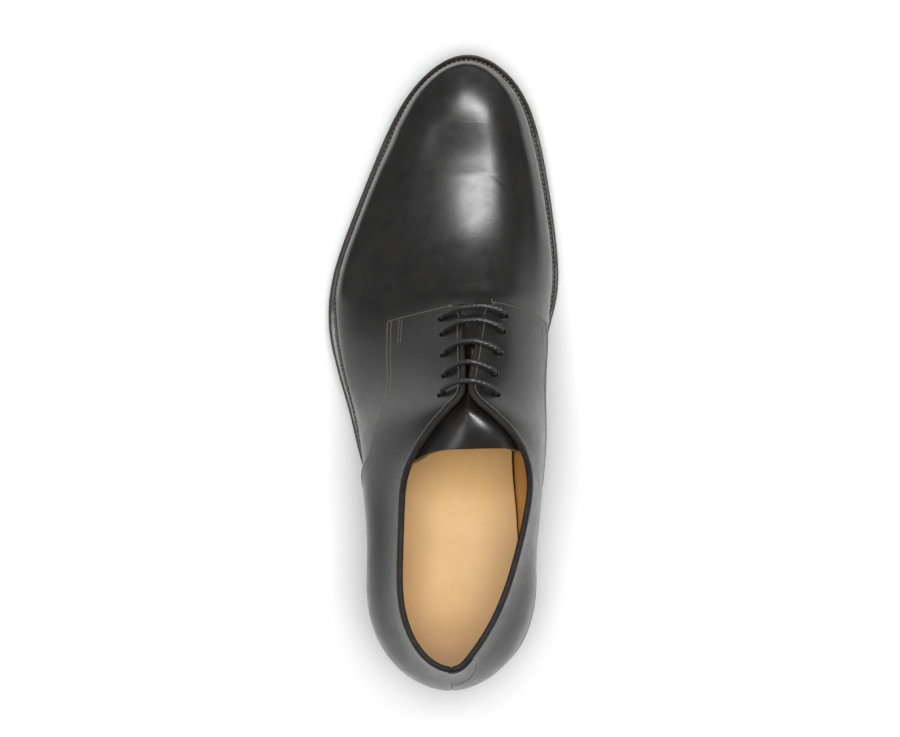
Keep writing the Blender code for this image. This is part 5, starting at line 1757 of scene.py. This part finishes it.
def tan_leather(name, dark, light):
    """Vegetable-tanned lining leather: warm tan in soft clouds, matt, with a fine grain."""
    material, tree, shader, place = new_material(name, 0.52, Specular_IOR_Level=0.35)
    two_tone(tree, shader, spread(tree, noise(tree, place, 0.03, 4), 0, 1), dark, light)
    bump(tree, shader, [(noise(tree, place, 0.0009, 3), 0.00004), (noise(tree, place, 0.008, 2), 0.0001)])
    return material


@functools.lru_cache
def lining_material():
    """Tan lining leather, matt and a little cloudy."""
    return tan_leather("tan lining", shoe_colours().lining_dark, shoe_colours().lining)


@functools.lru_cache
def sock_material():
    """Tan sock leather, lighter than the lining."""
    return tan_leather("tan sock leather", shoe_colours().sock_dark, shoe_colours().sock)


@functools.lru_cache
def lining_thread_material():
    """The closed seam of the lining, a darker tan line."""
    material, tree, shader, place = new_material("lining seam", 0.7)
    two_tone(tree, shader, noise(tree, place, 0.002), "#5E3D1E", "#6E4A26")
    return material


@functools.lru_cache
def welt_material():
    """Black welt leather with a waxed top."""
    material, tree, shader, place = new_material("black welt", 0.38, Coat_Weight=0.2, Coat_Roughness=0.25)
    two_tone(tree, shader, spread(tree, noise(tree, place, 0.004, 3), 0, 1), "#191716", "#2A2624")
    bump(tree, shader, [(noise(tree, place, 0.0007, 3), 0.00006)])
    return material


@functools.lru_cache
def sole_edge_material():
    """Burnished sole edge: nearly black with fine lines along it, browner where the dye is thin."""
    material, tree, shader, place = new_material("burnished sole leather", 0.35, Coat_Weight=0.25)
    patches = spread(tree, noise(tree, place, 0.03, 4), -1.2, 1.2)
    two_tone(tree, shader, patches, "#1B1817", "#3A2A1F")
    lines = noise(tree, place, 0.01, 3, (1, 1, 30))
    bump(tree, shader, [(lines, 0.00012), (noise(tree, place, 0.0006), 0.00003)])
    return material


@functools.lru_cache
def heel_material():
    """Stacked leather lifts, dyed dark and burnished, with the fibres' fine lines."""
    material, tree, shader, place = new_material("stacked heel leather", 0.4, Coat_Weight=0.2)
    two_tone(tree, shader, spread(tree, noise(tree, place, 0.012, 4, (1, 1, 12)), 0, 1), "#211E1D", "#35302D")
    lines = noise(tree, place, 0.008, 3, (1, 1, 40))
    bump(tree, shader, [(lines, 0.00012), (noise(tree, place, 0.0006), 0.00003)])
    return material


@functools.lru_cache
def top_lift_material():
    """Moulded rubber, dark and slightly brown, matt with fine specks."""
    material, tree, shader, place = new_material("top lift rubber", 0.6)
    two_tone(tree, shader, spread(tree, noise(tree, place, 0.0015, 2), 0, 1), "#221D1A", "#2F2823")
    bump(tree, shader, [(noise(tree, place, 0.0006, 2), 0.00008)])
    return material


@functools.lru_cache
def thread_material():
    """Black waxed thread, painted a mid grey: the lighter tone is a painted highlight for the light the
    stitches catch.
    """
    material, tree, shader, place = new_material("black thread", 0.45)
    # Grey tones lighter than the black thread: a painted highlight on the stitches.
    two_tone(tree, shader, noise(tree, place, 0.001), "#5C5A57", "#7C7974")
    bump(tree, shader, [(noise(tree, place, 0.0003), 0.00005)])
    return material


@functools.lru_cache
def lace_material():
    """Round waxed cotton: two sets of strands that cross as they wind round the cord.
    Its tone follows the braid's height: painted shade in the grooves between the strands and a painted
    highlight on their crowns.
    """
    material, tree, shader, _ = new_material("waxed cotton lace", 0.42, Coat_Weight=0.15)
    along = add_node(tree, "ShaderNodeAttribute", attribute_name="lace_along").outputs["Fac"]
    cosine = add_node(tree, "ShaderNodeAttribute", attribute_name="lace_cos").outputs["Fac"]
    sine = add_node(tree, "ShaderNodeAttribute", attribute_name="lace_sin").outputs["Fac"]
    around = add_node(tree, "ShaderNodeMath", {}, {0: sine, 1: cosine}, operation="ARCTAN2").outputs[0]
    turns = add_node(tree, "ShaderNodeMath", {1: LACE_STRANDS}, {0: around}, operation="MULTIPLY").outputs[0]
    lay = {1: 2 * math.pi / LACE_LAY}
    way = add_node(tree, "ShaderNodeMath", lay, {0: along}, operation="MULTIPLY").outputs[0]
    strands = []
    for operation in ("ADD", "SUBTRACT"):
        lean = add_node(tree, "ShaderNodeMath", {}, {0: way, 1: turns}, operation=operation).outputs[0]
        strands.append(add_node(tree, "ShaderNodeMath", {}, {0: lean}, operation="SINE").outputs[0])
    both = {0: strands[0], 1: strands[1]}
    braid = add_node(tree, "ShaderNodeMath", {}, both, operation="MAXIMUM").outputs[0]
    # Tone follows the braid: painted shade in the grooves, painted highlight on the strands' crowns.
    two_tone(tree, shader, spread(tree, braid, 0, 1), "#141313", shoe_colours().lace)
    bump(tree, shader, [(braid, 0.00007)])
    return material


@functools.lru_cache
def floor_material():
    """Pale studio floor."""
    material, tree, shader, place = new_material("studio floor", 0.9)
    two_tone(tree, shader, noise(tree, place, 0.5), shoe_colours().floor, "#FFFFFF")
    return material


def aim(thing, target):
    """Turn a lamp or camera to a target."""
    thing.rotation_euler = (Vector(target) - thing.location).to_track_quat("-Z", "Y").to_euler()


def add_light(name, place, target, size, power, mirrored):
    """A rectangular soft light aimed at a point, all lengths in metres."""
    light = bpy.data.lights.new(name, "AREA")
    light.shape = "RECTANGLE"
    light.size, light.size_y = size
    light.energy = power
    lamp = bpy.data.objects.new(name, light)
    lamp.location = place
    lamp.visible_glossy = mirrored
    lamp.visible_diffuse = not mirrored
    aim(lamp, target)
    bpy.context.scene.collection.objects.link(lamp)


def build_stage():
    """Pale floor, soft boxes and panels, and the camera at the photograph's viewpoint."""
    half = FLOOR_HALF
    corners = [(-half, -half, 0), (half, -half, 0), (half, half, 0), (-half, half, 0)]
    mesh = bpy.data.meshes.new("studio_floor")
    mesh.from_pydata(corners, [], [(0, 1, 2, 3)])
    mesh.materials.append(floor_material())
    floor = bpy.data.objects.new("studio_floor", mesh)
    bpy.context.scene.collection.objects.link(floor)
    for light in LIGHTS:
        add_light(*light)
    world = bpy.data.worlds.new("studio")
    world.use_nodes = True
    world.node_tree.nodes["Background"].inputs["Color"].default_value = linear("#FFFFFF")
    world.node_tree.nodes["Background"].inputs["Strength"].default_value = WORLD_LIGHT
    scene = bpy.context.scene
    scene.world = world
    scene.view_settings.view_transform = "Standard"
    scene.view_settings.look = "None"
    scene.view_settings.exposure = EXPOSURE
    camera = bpy.data.cameras.new("camera")
    camera.lens = CAMERA_LENS
    camera.sensor_width = CAMERA_SENSOR
    camera.dof.use_dof = False
    camera.clip_start = 0.05
    camera.clip_end = 20
    thing = bpy.data.objects.new("camera", camera)
    thing.location = CAMERA_PLACE
    ahead = unit(np.array(CAMERA_TARGET) - np.array(CAMERA_PLACE))
    right = unit(np.cross(ahead, (0, 1, 0)))
    up = np.cross(right, ahead)
    turn = np.column_stack([right, up, -ahead])
    thing.rotation_euler = Matrix(turn.tolist()).to_euler()
    scene.collection.objects.link(thing)
    scene.camera = thing
    scene.render.resolution_x = IMAGE_WIDTH
    scene.render.resolution_y = IMAGE_HEIGHT


class DerbySizes(bpy.types.PropertyGroup):
    """Sizes a user would change."""

    stitch_pitch: bpy.props.FloatProperty(
        name="Stitch Pitch", description="Length of one step of the upper's stitching",
        default=0.0013, min=0.0008, max=0.003, precision=4, unit="LENGTH")
    welt_pitch: bpy.props.FloatProperty(
        name="Welt Stitch Pitch", description="Length of one step of the welt's stitching",
        default=0.0023, min=0.0015, max=0.005, precision=4, unit="LENGTH")
    lace_diameter: bpy.props.FloatProperty(
        name="Lace Diameter", description="Thickness of the round lace",
        default=0.0024, min=0.0015, max=0.003, precision=4, unit="LENGTH")
    crease_depth: bpy.props.FloatProperty(
        name="Crease Depth", description="How deep the vamp's creases are, where 1 is as in the photograph",
        default=1.0, min=0.0, max=3.0, subtype="FACTOR")


class DerbyColours(bpy.types.PropertyGroup):
    """Colours a user would change, as hex values."""

    calf: bpy.props.StringProperty(name="Calf", description="Main colour of the upper", default="#151414")
    calf_worn: bpy.props.StringProperty(
        name="Calf Clouds", description="Lighter clouds in the upper's polish", default="#1D1B1A")
    lining: bpy.props.StringProperty(name="Lining", description="Light tone of the lining", default="#DFAA64")
    lining_dark: bpy.props.StringProperty(
        name="Lining Shade", description="Dark tone of the lining", default="#CE9A52")
    sock: bpy.props.StringProperty(name="Sock", description="Light tone of the sock", default="#DFBA82")
    sock_dark: bpy.props.StringProperty(
        name="Sock Shade", description="Dark tone of the sock", default="#D2AB6E")
    # The strands' lighter tone over the grooves is a painted highlight on the braid.
    lace: bpy.props.StringProperty(name="Lace", description="Light strands of the lace", default="#2B2A2A")
    floor: bpy.props.StringProperty(name="Floor", description="Colour of the studio floor", default="#FAFAFA")


def shoe_sizes():
    """The sizes kept with the scene."""
    return bpy.context.scene.derby_sizes


def shoe_colours():
    """The colours kept with the scene."""
    return bpy.context.scene.derby_colours


class DERBY_OT_upper(bpy.types.Operator):
    """Build the vamp, the quarters, the collar's binding, the back tab and the lining"""

    bl_idname = "derby.upper"
    bl_label = "Build Upper"

    def execute(self, context):
        build_vamp()
        build_quarters()
        build_binding()
        build_backing()
        build_tab()
        build_lining()
        build_lining_seam()
        return {"FINISHED"}


class DERBY_OT_tongue(bpy.types.Operator):
    """Build the tongue"""

    bl_idname = "derby.tongue"
    bl_label = "Build Tongue"

    def execute(self, context):
        build_tongue()
        return {"FINISHED"}


class DERBY_OT_bottom(bpy.types.Operator):
    """Build the insole, the welt and the sole"""

    bl_idname = "derby.bottom"
    bl_label = "Build Bottom"

    def execute(self, context):
        build_sock()
        build_welt()
        build_outsole()
        return {"FINISHED"}


class DERBY_OT_heel(bpy.types.Operator):
    """Build the heel's lifts and its top lift"""

    bl_idname = "derby.heel"
    bl_label = "Build Heel"

    def execute(self, context):
        build_heel_stack()
        build_top_lift()
        return {"FINISHED"}


class DERBY_OT_lace(bpy.types.Operator):
    """Build the lace through its eyelets"""

    bl_idname = "derby.lace"
    bl_label = "Build Lace"

    def execute(self, context):
        build_lace()
        return {"FINISHED"}


class DERBY_OT_stitches(bpy.types.Operator):
    """Build the stitching of the upper and of the welt"""

    bl_idname = "derby.stitches"
    bl_label = "Build Stitches"

    def execute(self, context):
        build_stitches()
        return {"FINISHED"}


class DERBY_OT_stage(bpy.types.Operator):
    """Build the floor, the lights and the camera"""

    bl_idname = "derby.stage"
    bl_label = "Build Stage"

    def execute(self, context):
        build_stage()
        return {"FINISHED"}


OPERATORS = (
    DERBY_OT_upper, DERBY_OT_tongue, DERBY_OT_bottom, DERBY_OT_heel, DERBY_OT_lace, DERBY_OT_stitches,
    DERBY_OT_stage,
)


class DERBY_PT_panel(bpy.types.Panel):
    """Sizes, colours and build steps of the derby shoe"""

    bl_label = "Derby Shoe"
    bl_idname = "DERBY_PT_panel"
    bl_space_type = "VIEW_3D"
    bl_region_type = "UI"
    bl_category = "Derby"

    def draw(self, context):
        layout = self.layout
        for group in (shoe_sizes(), shoe_colours()):
            for name in group.bl_rna.properties.keys():
                if name not in ("rna_type", "name"):
                    layout.prop(group, name)
        for operator in OPERATORS:
            layout.operator(operator.bl_idname)


CLASSES = (DerbySizes, DerbyColours, *OPERATORS, DERBY_PT_panel)


def register():
    for item in CLASSES:
        bpy.utils.register_class(item)
    bpy.types.Scene.derby_sizes = bpy.props.PointerProperty(type=DerbySizes)
    bpy.types.Scene.derby_colours = bpy.props.PointerProperty(type=DerbyColours)


def unregister():
    del bpy.types.Scene.derby_colours
    del bpy.types.Scene.derby_sizes
    for item in reversed(CLASSES):
        bpy.utils.unregister_class(item)


def main():
    register()
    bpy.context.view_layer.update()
    bpy.ops.derby.upper()
    bpy.ops.derby.tongue()
    bpy.ops.derby.bottom()
    bpy.ops.derby.heel()
    bpy.ops.derby.lace()
    bpy.ops.derby.stitches()
    bpy.ops.derby.stage()


if __name__ == "__main__":
    main()
